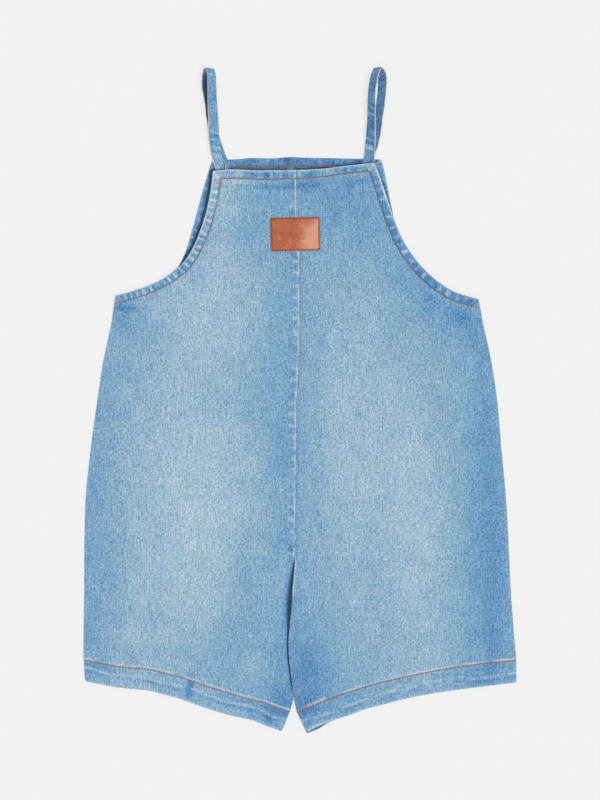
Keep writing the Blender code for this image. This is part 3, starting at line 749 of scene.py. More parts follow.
    def sew_hems(self):
        """What the stitch rows do to the hems: ropes and dips, worn ridges, and painted shade in the dips
        beside them.
        """
        edge, _, top, leg = self.off
        ones, x = self.ones, self.grid[..., 0]
        other = 10.0 if self.side == "left" else 0.0
        free = ones.copy()
        beside_armhole = smooth((self.hem + 2.5 - edge) / 1.5) * self.in_armhole
        above_mitre = 1 - beside_armhole * smooth((top - edge) / 1.6 + 0.5)
        for kind, distance, run, share in (
            ("top", top, x, above_mitre),
            (f"armhole_{self.side}", edge, self.edge_along[:, None] * ones, self.in_armhole),
            ("leg", leg, x, ones),
        ):
            hem = HEMS[f"{self.part}_{kind}"]
            line, sewn = (self.leg, LEG_ROW) if kind == "leg" else (self.hem, NARROW_ROW)
            line = line - self.inset
            past = distance - line
            band = smooth((line + 0.6 - distance) / 1.2) * share
            here, beside = band * free, share * free
            middle = np.sin(np.pi * np.clip(distance / line, 0, 1)) ** 0.7
            slant = (run + other + 0.55 * distance) / hem.pitch
            wave = uneven(slant, distance / 9 + other, hem.seed)
            fine = uneven(slant * 2.3, distance / 5 + other, hem.seed + 10)
            self.dip += here * middle * (0.16 + 0.26 * wave + 0.12 * fine)
            self.dip -= 0.34 * bell(past, 0.9) * beside
            self.dip += 0.16 * bell(past - 2.2, 1.1) * beside
            self.tone += here * middle * (hem.patches * wave + 0.2 * fine)
            self.tone += here * (hem.tone + (hem.down - hem.tone) * smooth((run - 20) / 80))
            fray = 0.8 + 0.3 * uneven(run / 2.6, distance, hem.seed + 20)
            lasting = 1 - 0.7 * smooth((run - EDGE_WORN) / 25) * (distance is edge)
            self.wear += hem.edge * smooth((1.5 - distance) / 0.9) * share * fray * lasting
            ridge = np.clip(0.7 + 0.6 * uneven(run / 9, other + ones, hem.seed + 25), 0, 1)
            ridged = bell(past - self.inset - sewn.ridge_in, sewn.ridge_wide)
            self.wear += hem.ridge * ridged * beside * ridge
            # painted shade in the dip beside the stitch row
            self.shade += sewn.hollow * bell(past - sewn.hollow_in, sewn.hollow_wide) * beside
            beyond = np.clip(past / 1.5, 0, 1) * bell(past - 4, 5) * share
            pull = uneven(run / 7 + other, distance / 14, hem.seed + 30)
            self.dip += 0.22 * beyond * pull
            self.tone += 0.35 * beyond * np.clip(pull, -1, 0.4)
            near = (distance < line + 4) & (share > 0) & (free > 0.5)
            steps = (distance, run) if hem.lengthwise else (run, distance)
            place = np.stack([steps[0] / hem.rung, steps[1] / 30, ones * hem.seed + other], axis=2)
            self.knots = np.where(near[..., None], place, self.knots)
            within = smooth((distance - 0.5) / 1.4) * smooth((line - 0.3 - distance) / 1.2)
            self.rope += hem.rungs * here * within * (0.6 + 0.4 * bell(run - RUNGS_MIDDLE, 40))
            free = np.minimum(free, 1 - band)

    def turn_legs(self):
        """The turned-in edge inside the leg hem, worn through in a broken line, and the worn corners."""
        edge, _, top, leg = self.off
        x = self.grid[..., 0]
        past = leg - (TURNING_UP[self.side] + 1.5 * uneven(x / 24, leg * 0, 41))
        inner = bell(past, 1.1)
        broken = np.clip(0.5 + 1.0 * uneven(x / 8, leg / 8, 42), 0, 1)
        self.wear += 0.5 * inner * broken
        self.dip += 0.12 * inner
        self.tone -= 0.25 * bell(past - 4, 2.6) * np.clip(uneven(x / 12, leg / 9, 43) + 0.6, 0, 1)
        self.tone -= 1.0 * bell(past + 2.3, 1.5) * broken
        self.tone += 0.25 * smooth((8 - leg) / 5)
        if self.part == "front" and self.side == "left":
            edge_along = self.edge_along[:, None] * self.ones
            self.wear += 0.85 * smooth((1.7 - edge) / 0.9) * bell(edge_along - 28, 16)
            self.wear += 0.7 * bell(leg - 1.3, 1.0) * bell(x - INNER_CORNER_X, 9)
        # painted shadow of the front's hem on the back's hem where it peeks out at the inner corner
        if self.part == "back":
            self.shade += 0.7 * bell(leg, 3.0) * bell(x - INNER_CORNER_X, 12)
        mitre = bell(edge - top, 1.0) * (np.maximum(edge, top) < self.hem) * self.in_armhole
        self.wear += 0.75 * mitre
        self.dip -= 0.15 * mitre

    def sew_centre(self):
        """The centre seam: its edge worn white, the allowance under the wearer's right half roped."""
        _, seam, top, _ = self.off
        at_centre = self.at_centre
        seam_along = self.seam_along[:, None] * self.ones
        below_hem = smooth((top - self.hem) / 2)
        line = bell(seam - 0.6, 0.5) * at_centre
        broken = np.clip(0.68 + 0.6 * uneven(seam_along / 6.5, seam * 0, 51), 0.15, 1)
        whole = smooth((LABEL_DOWN + 4 - seam_along) / 4)
        broken = broken * (1 - whole) + (0.8 + 0.1 * broken) * whole
        shown = below_hem if self.part == "back" else 1.0
        down = seam_along - self.seam_run[self.crotch]
        if self.side == "right":
            pad = smooth((self.seam_width + 1.2 - seam) / 2.4) * smooth(seam / 1.2) * at_centre * below_hem
            pucker = uneven((seam_along + 0.5 * seam) / 8.0, seam / 9, 52)
            fine = uneven((seam_along - 0.3 * seam) / 4.5, seam / 5, 53)
            self.dip += pad * (0.3 + 0.28 * pucker + 0.1 * fine)
            self.tone -= 1.3 * pad * np.clip(-pucker + 0.05, 0, 1) * bell(seam - 3.6, 3.0)
            self.wear += 0.8 * line * broken * shown
            place = np.stack([seam_along / SEAM_RUNG, seam / 30, self.ones * 57], axis=2)
            self.knots = np.where((seam < 12)[..., None] & (pad > 0)[..., None], place, self.knots)
            roped = 0.5 * pad * smooth((7.5 - seam) / 3.5) * smooth((seam - 0.3) / 0.8)
            self.rope = np.maximum(self.rope, roped)
            # painted shade, lowering the tone beside the seam where the cloth curls down into the crevice
            # between the legs
            self.tone -= 1.0 * bell(seam - 2.6, 2.6) * smooth((down + 32) / 26) * at_centre
            self.tone -= 1.7 * bell(seam - 1.5, 3.4) * bell(down - 34, 32) * (1 - at_centre)
            gap = 2.1 * bell((down - 36) / np.where(down < 36, 30, 24), 1.0) - 0.3
        else:
            self.wear += 0.3 * line * broken * shown
            # painted shade: a thin dark line beside the seam's edge
            self.shade += 0.3 * bell(seam - 1.2, 0.9) * at_centre
            uneven_dip = 0.5 + 0.5 * uneven(seam_along / 9, seam, 54)
            self.dip -= 0.1 * bell(seam - 3, 3) * at_centre * uneven_dip
            gap = 0.8 * bell(down - 42, 14) - 0.3
        near = bell(seam, 14) * at_centre * below_hem
        self.tone -= 0.12 * near * (0.7 + 0.5 * uneven(seam_along / 16, seam / 10, 55))
        self.darken_crevice(gap, down, broken)

    def darken_crevice(self, gap, down, broken):
        """Painted shade in the crevice between the legs below the worn end of the seam, and the worn side
        seams.
        """
        edge, seam, _, _ = self.off
        between = (1 - self.at_centre) * smooth((self.leg_end - self.rows[:, None]) / 1.5 + 0.3)
        soft = 2.4 * smooth(gap) if self.side == "right" else 0.0
        self.shade += 1.15 * smooth((gap + 0.9 + 0.7 * soft - seam) / (1.4 + soft)) * between
        self.dip -= 0.6 * smooth((gap + 1.5 - seam) / 2.5) * between * smooth(gap)
        # painted shade on the back's inner leg edges, which show through the gap between the legs
        if self.part == "back":
            self.shade += 1.5 * smooth((6 - seam) / 3) * between
        if self.side == "left":
            worn = bell(seam - 1.1, 0.6) * between * smooth((38 - down) / 14)
            self.wear += 0.8 * worn * (0.4 + 0.6 * broken)
        self.wear += 0.18 * np.clip(1 - edge / 1.4, 0, 1) * (1 - self.in_armhole)


# ---------------------------------------------------------------- meshes
# Degrees between two faces at which their edge stays sharp, and the order of a quad's corners that turns
# it over
SHARP = 50.0
OVER = [0, 3, 2, 1]


def grid_quads(index):
    """The quads between the rows and columns of a grid of point numbers."""
    return np.stack([index[:-1, :-1], index[1:, :-1], index[1:, 1:], index[:-1, 1:]], axis=2)


def tube_quads(index):
    """The quads round a tube, from the point numbers of its rings."""
    beside = np.roll(index, -1, axis=1)
    return np.stack([index[:-1], index[1:], beside[1:], beside[:-1]], axis=2).reshape(-1, 4)


def skin_normals(points, faces):
    """The normal at each point of a skin of quads."""
    across = points[faces[:, 2]] - points[faces[:, 0]]
    cross = np.cross(across, points[faces[:, 3]] - points[faces[:, 1]])
    total = np.zeros_like(points)
    for corner in range(4):
        np.add.at(total, faces[:, corner], cross)
    return unit(total)


def thickened(points, faces, thickness):
    """A closed wall from a skin of quads: the skin, its lining side and the rim between them."""
    count = len(points)
    normals = skin_normals(points, faces)
    start, end = faces.ravel(), np.roll(faces, -1, axis=1).ravel()
    free = ~np.isin(start * count + end, end * count + start)
    start, end = start[free], end[free]
    rim = np.stack([end, start, start + count, end + count], axis=1)
    solid = np.concatenate([faces, faces[:, ::-1] + count, rim])
    side = np.concatenate([np.zeros(len(faces)), np.ones(len(faces) + len(rim))]).astype(int)
    return np.concatenate([points, points - normals * thickness]), solid, side, normals


def make_object(name, points, faces, looks, fields, sides=None):
    """An object from points in millimetres, faces of one size, materials and values at the points."""
    data = bpy.data.meshes.new(name)
    data.vertices.add(len(points))
    data.vertices.foreach_set("co", (points * MM).astype(np.float32).ravel())
    size = faces.shape[1]
    data.loops.add(faces.size)
    data.loops.foreach_set("vertex_index", faces.astype(np.int32).ravel())
    data.polygons.add(len(faces))
    data.polygons.foreach_set("loop_start", np.arange(0, faces.size, size, dtype=np.int32))
    data.polygons.foreach_set("loop_total", np.full(len(faces), size, dtype=np.int32))
    for look in looks:
        data.materials.append(look)
    if sides is not None:
        data.polygons.foreach_set("material_index", sides.astype(np.int32))
    for field, values in fields.items():
        vector = values.ndim == 2
        made = data.attributes.new(field, "FLOAT_VECTOR" if vector else "FLOAT", "POINT")
        made.data.foreach_set("vector" if vector else "value", values.astype(np.float32).ravel())
    data.update(calc_edges=True)
    data.validate()
    made = bpy.data.objects.new(name, data)
    bpy.context.scene.collection.objects.link(made)
    bpy.ops.object.select_all(action="DESELECT")
    made.select_set(True)
    bpy.context.view_layer.objects.active = made
    bpy.ops.object.shade_smooth_by_angle(angle=math.radians(SHARP))
    bpy.ops.object.select_all(action="DESELECT")
    return made


def belongs(made, slot, *nodes):
    """The piece rides with the garment and hides the CAD nodes that it stands for; its slot is not used."""
    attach(made, "root")
    if nodes:
        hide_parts(*nodes)
    return made


def cloth_piece(half, looks):
    """The cloth of a half with its hems turned in, as one sheet."""
    count = len(half.rows) * len(half.columns)
    index = np.arange(count).reshape(len(half.rows), len(half.columns))
    quads = grid_quads(index)
    row, column = half.rows[:-1, None] + 1e-6, half.columns[None, :-1] + 1e-6
    band = (row < 1) | (row >= half.last_row - 1)
    band = band | ((column >= half.last_column - 1) & (row < half.underarm))
    turned = quads[band][:, ::-1]
    rows, columns = half.rows[:, None], half.columns[None, :]
    closed = (rows <= 0) | (rows >= half.last_row) | (columns >= half.last_column)
    closed = (closed | ((columns <= 0) & (rows > half.crotch + 1))).ravel()
    used = np.unique(turned)
    extra = used[~closed[used]]
    lookup = np.arange(count)
    lookup[extra] = count + np.arange(len(extra))
    faces = np.concatenate([quads.reshape(-1, 4), lookup[turned]])
    if (half.out > 0) != (half.up > 0):
        faces = faces[:, ::-1]
    skin = half.skin.reshape(-1, 3)
    points = np.concatenate([skin, half.under.reshape(-1, 3)[extra]])
    nodes = [f"{half.part}_{half.side}"]
    nodes += [f"{half.part}_{kind}_hem_{half.side}" for kind in ("top", "armhole", "leg")]
    pressed = np.zeros(0, int)
    if half.side == "right":
        pressed, strip = allowance_skin(half, index)
        lowered = skin[pressed]
        lowered[:, 2] = half.grid[..., 2].ravel()[pressed] - half.up * (half.wall + LAYER_GAP)
        faces = np.concatenate([faces, strip[:, :: -half.up] + len(points)])
        points = np.concatenate([points, lowered])
        nodes.append(f"{half.part}_centre_seam")
    points, solid, side, normals = thickened(points, faces, half.wall)
    half.normals = normals[:count].reshape(half.skin.shape)

    def both(values, wrong_side=0.3):
        """Values of the skin and of what is turned in or pressed aside, then the same on the wrong side."""
        flat = values.reshape(count, -1)
        flat = np.concatenate([flat, flat[extra], flat[pressed]])
        return np.concatenate([flat, flat * wrong_side]).squeeze()

    flat = np.concatenate([half.grid[..., :2], -half.drop[..., None]], axis=2).reshape(-1, 3)
    turned_in = flat[extra] * (1, 1, -1) - (0, 0, 2 * half.fold)
    flat = np.concatenate([flat, turned_in, flat[pressed]]) * MM
    fields = {
        "tone": both(half.tone),
        "wear": both(half.wear),
        "shade": both(half.shade, 0.3 if half.up > 0 else 1.0),
        "rope": both(half.rope),
        "knots": both(half.knots, 1.0) * MM,
        "cloth": np.concatenate([flat, flat]),
    }
    if half.up < 0:
        # the back's painted shade lies on its inside, and only weakly outside
        fields["shade"][:count] *= (0.25 + 0.75 * np.clip(half.drop / half.fold, 0, 1)).ravel()
    made = make_object(f"{half.part}_cloth_{half.side}", points, solid, looks, fields, side)
    return belongs(made, "denim" if half.up > 0 else "denim_inside", *nodes)


def allowance_skin(half, index):
    """The points and quads of the centre seam's allowance, which lies under the wearer's right half."""
    rows = slice(half.top_at, half.line(rows=half.crotch) + 1, 2)
    columns = slice(half.line(columns=half.seam_fold / half.seam_width), half.seam_at + 1)
    block = index[rows, columns]
    return block.ravel(), grid_quads(np.arange(block.size).reshape(block.shape)).reshape(-1, 4)


# ---------------------------------------------------------------- straps
STRAP_PITCH = 1.1
STRAP_ROUND = 32
STRAP_RUNG = 7.5
STRAP_PULLED = 75.0
STRAP_PULL = {"right": 0.9, "left": 0.5}
# How much narrower than the CAD's strip the cloth is: at the sewn edge of the front run, and at the plain
# edge of the front and the back run
STRAP_NARROWER = {"right": (0.8, 0.4, 1.1), "left": (0.5, 0.65, 1.3)}
STRAP_TONE = {"right": (0.35, 0.75), "left": (-0.45, -0.55)}
STRAP_SEED = {"right": 70, "left": 80}
# BACK_RUN_DARK lowers the back run's tone as painted shade inside the loop; BACK_RUN_PALE is how far before
# the strap's end that painted shade fades
BACK_RUN_DARK = {"right": 2.6, "left": 0.15}
BACK_RUN_LEAN = {"right": 1.6, "left": 0.0}
BACK_RUN_PALE = 52.0
# How far the front run bows out below the loop, how far the loop's top is pulled down, and how far the worn
# rim reaches in past the stitch row
FRONT_RUN_BOW = {"right": 0.0, "left": -1.0}
LOOP_LOW = {"right": 0.0, "left": 0.6}
RIM_WORN = {"right": 0.04, "left": -0.05}
LOOP_FROM = 55.0
# Heights: where the back run leans out and back again, where the front run bows, and where the back run
# is no longer narrower
LEAN_OUT_Y, LEAN_BACK_Y, BOW_Y, FULL_WIDTH_Y = 256, 271, 277, 262

Strip = namedtuple("Strip", "centre across upward half_width half_thick")


def strap_rings(node):
    """The four corners of a strap's section, ring by ring from its end behind the bib.

    They are the lower and upper corners of its -X edge and +X edge, in the order lower -X, lower +X,
    upper +X, upper -X.
    """
    mesh = merged(node)
    ring = sorted(mesh.verts, key=lambda v: v.co.y)[:4]
    centre = sum((v.co for v in ring), Vector()) / 4
    ring.sort(key=lambda v: math.atan2(v.co.z - centre.z, v.co.x - centre.x))
    rings, seen = [], set()
    while ring:
        rings.append([tuple(v.co) for v in ring])
        seen.update(ring)
        near = [{e.other_vert(v) for e in v.link_edges} - seen for v in ring]
        following = sorted(set().union(*near), key=lambda v: v.index)
        best, ring_length = None, 1e9
        if len(following) == 4:
            for order in itertools.permutations(following):
                if all(new in options for new, options in zip(order, near)):
                    total = sum((new.co - old.co).length for new, old in zip(order, ring))
                    if total < ring_length:
                        best, ring_length = list(order), total
        ring = best
    mesh.free()
    return np.array(rings)


def strap_line(side):
    """A strap's middle line, the ways across it and up from it, and half its width and thickness."""
    rings = strap_rings(f"strap_{side}")
    centre = rings.mean(axis=1)
    across = (rings[:, 1] + rings[:, 2] - rings[:, 0] - rings[:, 3]) / 4
    upward = (rings[:, 2] + rings[:, 3] - rings[:, 0] - rings[:, 1]) / 4
    last, run = len(rings) - 1, run_of(centre)
    count = round(run[-1] / STRAP_PITCH)
    samples = np.interp(np.linspace(0, run[-1], count + 1), run, np.arange(last + 1))
    weights = curve_weights(samples, last, set())
    centre, across, upward = weights @ centre, weights @ across, weights @ upward
    past_top = run_of(centre) - run_of(centre)[np.argmax(centre[:, 1])]
    back = smooth(past_top / 12)
    leaning = smooth((centre[:, 1] - LEAN_OUT_Y) / 12) - 0.4 * smooth((centre[:, 1] - LEAN_BACK_Y) / 12)
    centre[:, 0] += BACK_RUN_LEAN[side] * back * leaning
    centre[:, 0] += FRONT_RUN_BOW[side] * (1 - back) * bell(centre[:, 1] - BOW_Y, 18)
    centre[:, 1] -= LOOP_LOW[side] * bell(past_top, 4)
    half_width, half_thick = np.linalg.norm(across, axis=1), np.linalg.norm(upward, axis=1)
    across = unit(across)
    square = unit(np.cross(unit(np.gradient(centre, axis=0)), across))
    square *= np.sign((square * upward).sum(axis=1))[:, None]
    return Strip(centre, across, square, half_width, half_thick), run[-1]


def strap_faces(points, centre):
    """The quads round a strap and over its two ends, facing outwards."""
    index = np.arange(len(centre) * STRAP_ROUND).reshape(-1, STRAP_ROUND)
    ends = []
    for ring, order in ((index[0], 1), (index[-1], -1)):
        for k in range(STRAP_ROUND // 2 - 1):
            ends.append([ring[k], ring[-1 - k], ring[-2 - k], ring[k + 1]][::order])
    faces = np.concatenate([tube_quads(index)[:, OVER], np.array(ends)])
    test = points[faces[STRAP_ROUND * 4]]
    normal = np.cross(test[1] - test[0], test[2] - test[0])
    outwards = normal @ (test.mean(axis=0) - centre[4]) > 0
    return faces if outwards else faces[:, ::-1]


def strap_grain(side, s, u):
    """The ropes and the finer unevenness of a strap, along it and round it."""
    seed = STRAP_SEED[side]
    rope = uneven((s + 2.5 * u * OUTWARD[side]) / 7.5, u * 0.8 + 3, seed)
    return rope, uneven((s - 1.5 * u) / 3.2, u * 1.6 + 3, seed + 1)


def strap_looks(side, s, u, row, above, front_end, long):
    """A strap's wash and wear: its rim past the stitches is worn, its back run and loop get painted shade.
    """
    out, seed = u * OUTWARD[side], STRAP_SEED[side]
    rope, fine = strap_grain(side, s, u)
    rim = smooth((out - abs(row) + RIM_WORN[side]) / 0.1)
    wear = 0.45 * smooth((-out - 0.86) / 0.1) * (0.7 + 0.4 * fine) + rim * (0.95 + 0.2 * fine)
    over = smooth((s - front_end) / 12)
    over = over * (1 - 0.85 * smooth((s - long + BACK_RUN_PALE) / 20))
    tone = np.minimum(0.6 * rope + 0.35 * fine + 0.3 * uneven(s / 22, u, seed + 3), 0.35)
    upper, lower = STRAP_TONE[side]
    # the back run's tone is lowered as painted shade
    tone = tone + upper + (lower - upper) * smooth((62 - s) / 34) - BACK_RUN_DARK[side] * over
    # painted shade: in the stitch row's dip, on the back run and the rim inside the right strap's loop, and
    # where the strap passes under the bib
    shade = 0.5 * bell(u - row, 0.1)
    if side == "right":
        loop = smooth((s - LOOP_FROM) / 12) * smooth((front_end + 10 - s) / 8)
        shade = shade + 0.75 * over + 0.6 * loop * smooth((out - 0.9) / 0.07)
    shade = shade + 0.9 * bell(above - 0.2, 1.1) * (s < front_end)
    inner = np.clip((1 - rim) * (1 - bell(u - row, 0.1)), 0, 1)
    pulled = 0.4 + STRAP_PULL[side] * smooth((STRAP_PULLED - s) / 40)
    pulled = pulled * np.clip(0.5 + 1.1 * uneven(s / 14, u * 0.4, seed + 4), 0, 1)
    return {
        "tone": tone.ravel(),
        "wear": np.clip(wear, 0, 1).ravel(),
        "rope": (inner * pulled).ravel(),
        "shade": np.clip(shade, 0, 1).ravel(),
    }


def strap_piece(side, looks, thread):
    """A folded strip of denim that follows the CAD strap, rounded at its edges and stitched along one."""
    strip, long = strap_line(side)
    centre, out, inset = strip.centre, OUTWARD[side], thread.strap_inset / MM
    distance, top = run_of(centre), int(np.argmax(centre[:, 1]))
    s, half_width, front_end = distance[:, None], strip.half_width[:, None], distance[top]
    turn = np.linspace(0, 2 * math.pi, STRAP_ROUND, endpoint=False) + math.pi / STRAP_ROUND
    ones = np.ones((len(centre), 1))
    u = np.sign(np.cos(turn)) * abs(np.cos(turn)) ** 0.42 * ones
    v = np.sign(np.sin(turn)) * abs(np.sin(turn)) ** 0.62 * ones
    rope, fine = strap_grain(side, s, u)
    row = out * (1 - inset / half_width)
    swell = 1 + 0.16 * rope * (1 - abs(u)) + 0.08 * fine - 0.22 * bell(u - row, 0.12)
    edge_wave = 1 + 0.018 * uneven(s / 6, u * 0, STRAP_SEED[side] + 2)
    in_front = smooth((front_end + 6 - s) / 12)
    sewn_edge, plain_front, plain_back = STRAP_NARROWER[side]
    drawn = sewn_edge * in_front * smooth((s - 40) / 15)
    behind = (1 - in_front) * smooth((FULL_WIDTH_Y - centre[:, 1:2]) / 20)
    plain = plain_front * in_front + plain_back * behind
    offset_u = u * (half_width - np.where(u * out > 0, drawn, plain)) * edge_wave
    offset_v = v * strip.half_thick[:, None] * swell
    points = centre[:, None] + strip.across[:, None] * offset_u[..., None]
    points = points + strip.upward[:, None] * offset_v[..., None]

    bib = HALVES["front", side].skin[0, :, :2]
    bib = bib[np.argsort(bib[:, 0])]
    above = points[..., 1] - np.interp(points[..., 0], bib[:, 0], bib[:, 1])
    fields = strap_looks(side, s, u, row, above, front_end, long)
    run = s + offset_u * 0
    knots = np.stack([(run + 1.5 * u) / STRAP_RUNG, offset_u / 40, run * 0 + STRAP_SEED[side]], axis=2)
    fields["knots"] = knots.reshape(-1, 3) * MM
    fields["cloth"] = np.stack([offset_u, run, offset_v], axis=2).reshape(-1, 3) * MM
    points = points.reshape(-1, 3)
    made = make_object(f"strap_cloth_{side}", points, strap_faces(points, centre), looks, fields)
    belongs(made, "denim_strap", f"strap_{side}")
    wide = float(strip.half_width.max() * 2)
    long * MM

    lines = []
    aside = out * (strip.half_width - inset - drawn[:, 0])
    for face in (1, -1):
        way = strip.upward * face
        place = centre + strip.across * aside[:, None] + way * (strip.half_thick * ROW_HEIGHT)[:, None]
        lines.append((place[: top + 1], way[: top + 1], FRONT_RUN_THREAD[side]))
        lines.append((place[top:], way[top:], BACK_RUN_THREAD[side]))
    return lines


# ---------------------------------------------------------------- label
LABEL_PITCH = 0.7
LABEL_SPREAD = (0.55, 0.68)
LABEL_SHIFT = (0.08, 0.33)
LABEL_FOLD = 0.45
LABEL_ROUND = 1.1
LABEL_TURNS = (90, 68, 46, 24, 0)
LABEL_UNDER = 1.15
# Steps at which the CAD label's height is read, and the share of its side at which they begin
LABEL_STEPS, LABEL_FROM = 8, 0.02
LABEL_ROW_POINTS = 60


def label_spread(size):
    """Distances along a side of the label, close together in its rounded ends."""
    rounding = quarter_round(LABEL_ROUND, LABEL_TURNS)
    count = round((size - 2 * LABEL_ROUND) / LABEL_PITCH)
    middle = [LABEL_ROUND + (size - 2 * LABEL_ROUND) * k / count for k in range(1, count)]
    return np.array(rounding + middle + [size - s for s in reversed(rounding)])


def label_weights(shares):
    """Weights of the heights that are read from the CAD, at shares of a side of the label."""
    steps = (shares - LABEL_FROM) / (1 - 2 * LABEL_FROM) * LABEL_STEPS
    return curve_weights(np.clip(steps, 0, LABEL_STEPS), LABEL_STEPS, set())


def label_piece(look, thread):
    """The leather label, rounded at its edge and pressed in under its stitches."""
    ring = outline("label")
    x, y = ring[:, 0], ring[:, 1]
    ways = np.array([(-1, -1), (1, -1), (1, 1), (-1, 1)])
    corners = np.array([ring[np.argmax(sx * x + sy * y)] for sx, sy in ways])
    corners[:, :2] += ways * LABEL_SPREAD + LABEL_SHIFT
    wide = np.linalg.norm(corners[1][:2] - corners[0][:2])
    high = np.linalg.norm(corners[3][:2] - corners[0][:2])

    def place_at(u, v):
        """Places at shares of the label's width and height."""
        return (
            corners[0] * ((1 - u) * (1 - v))[..., None] + corners[1] * (u * (1 - v))[..., None]
            + corners[2] * (u * v)[..., None] + corners[3] * ((1 - u) * v)[..., None]
        )

    across, up = label_spread(wide), label_spread(high)
    beside, above = np.minimum(across, wide - across)[None], np.minimum(up, high - up)[:, None]
    inner = np.minimum(beside, above)
    u, v = across[None] / wide * np.ones_like(inner), up[:, None] / high * np.ones_like(inner)
    a, b = (np.clip(1 - off / LABEL_ROUND, 0, 1) * np.ones_like(inner) for off in (beside, above))
    a_round, b_round, deep = rounded_corner(a, b)
    u = u + np.sign(0.5 - u) * (a - a_round) * LABEL_ROUND / wide
    v = v + np.sign(0.5 - v) * (b - b_round) * LABEL_ROUND / high
    flat = place_at(u, v)
    probe = place_at(*np.meshgrid(*[np.linspace(LABEL_FROM, 1 - LABEL_FROM, LABEL_STEPS + 1)] * 2))
    heights = height_on("label", probe[..., 0], probe[..., 1])
    ground = label_weights(v[:, len(across) // 2]) @ heights @ label_weights(u[len(up) // 2]).T
    inset = thread.label_inset / MM
    pitch = (thread.label_stitch + thread.label_gap) / MM
    beat = np.where(beside < above, up[:, None] / pitch, across[None] / pitch)
    press = bell(inner - inset, 0.5) * (0.16 + 0.10 * np.cos(2 * np.pi * beat))
    flat_x, flat_y = flat[..., 0], flat[..., 1]
    sag = 0.12 * uneven(flat_x / 9, flat_y / 9, 90) + 0.05 * uneven(flat_x / 4, flat_y / 4, 91)
    cushion = 0.10 * smooth((inner - inset) / 3)
    height = ground - LABEL_FOLD * deep - press + sag * smooth(inner / 3) + cushion
    skin = np.stack([flat_x, flat_y, height], axis=2).reshape(-1, 3)
    faces = grid_quads(np.arange(len(skin)).reshape(inner.shape))[..., OVER].reshape(-1, 4)
    count = len(skin)
    points, solid, _, _ = thickened(skin, faces, LABEL_UNDER)
    points[count:, :2] = points[:count, :2]
    points[count:, 2] = (ground - LABEL_UNDER).ravel()
    # painted highlight: the label is paler towards its right, less at its upper right end, with a random
    # unevenness
    paler_end = 1 - 0.45 * bell(u - 0.78, 0.12) * smooth((v - 0.6) / 0.3)
    paled = 1.15 * smooth((u - 0.40 - 0.14 * v) / 0.42) * paler_end
    paled += 0.15 * uneven(flat_x / 7, flat_y / 6, 92)
    fields = {
        "tone": np.concatenate([paled.ravel(), np.zeros(count)]),
        "wear": np.concatenate([np.clip(1 - inner, 0, 1).ravel(), np.zeros(count)]),
        # painted shade in the dip of the stitch row
        "shade": np.concatenate([bell(inner.ravel() - inset, 0.7), np.zeros(count)]),
        "cloth": points * MM,
    }
    made = make_object("label_leather", points, solid, [look], fields)
    belongs(made, "label_leather", "label")

    def edge_line(start, end):
        """A row of stitches between two corners, at the height of the nearest points."""
        share = np.linspace(0, 1, LABEL_ROW_POINTS)[:, None]
        across_share, up_share = (np.array(start) + (np.array(end) - start) * share).T
        place = place_at(across_share, up_share)
        near_row = abs(up / high - up_share[:, None]).argmin(axis=1)
        near_column = abs(across / wide - across_share[:, None]).argmin(axis=1)
        place[:, 2] = height[near_row, near_column]
        return place, np.tile([0.0, 0.0, 1.0], (len(place), 1)), 0.0

    du, dv = inset / wide, inset / high
    turns = [(du, dv), (1 - du, dv), (1 - du, 1 - dv), (du, 1 - dv)]
    return [edge_line(start, end) for start, end in zip(turns, turns[1:] + turns[:1])]


# ---------------------------------------------------------------- thread
BARTACK_ROWS = 6
BARTACK_SHIFTS = (-0.25, 0.6)
# How bright each row of thread is: the armholes', the straps' front runs, which are bleached, and their back
# runs, where the right strap's row is darkened as painted shade inside its loop
ARMHOLE_THREAD = {"right": -0.4, "left": -0.9}
FRONT_RUN_THREAD = {"right": 2.0, "left": 1.7}
BACK_RUN_THREAD = {"right": -1.2, "left": 0.8}
STRAP_THREAD = 0.6
ROW_HEIGHT = 0.80
STITCH_RINGS, STITCH_ROUND = 7, 6


def stitch_shape():
    """One stitch, 1 long along X and 1 thick: a round thread that dives in at both ends."""
    turn = np.arange(STITCH_ROUND) * 2 * math.pi / STITCH_ROUND
    points = []
    for share in np.arange(STITCH_RINGS) / (STITCH_RINGS - 1):
        end = math.sin(math.pi * (0.12 + 0.76 * share))
        radius = 0.5 * (0.5 + 0.5 * end)
        for t in turn:
            points.append((share - 0.5, radius * math.cos(t), radius * math.sin(t) - 0.6 * (1 - end)))
    index = np.arange(STITCH_RINGS * STITCH_ROUND).reshape(STITCH_RINGS, STITCH_ROUND)
    caps = []
    for ring, order in ((index[0], 1), (index[-1], -1)):
        for quad in ((0, 1, 2, 3), (3, 4, 5, 0)):
            caps.append(ring[list(quad)][::order])
    return np.array(points), np.concatenate([tube_quads(index), np.array(caps)])


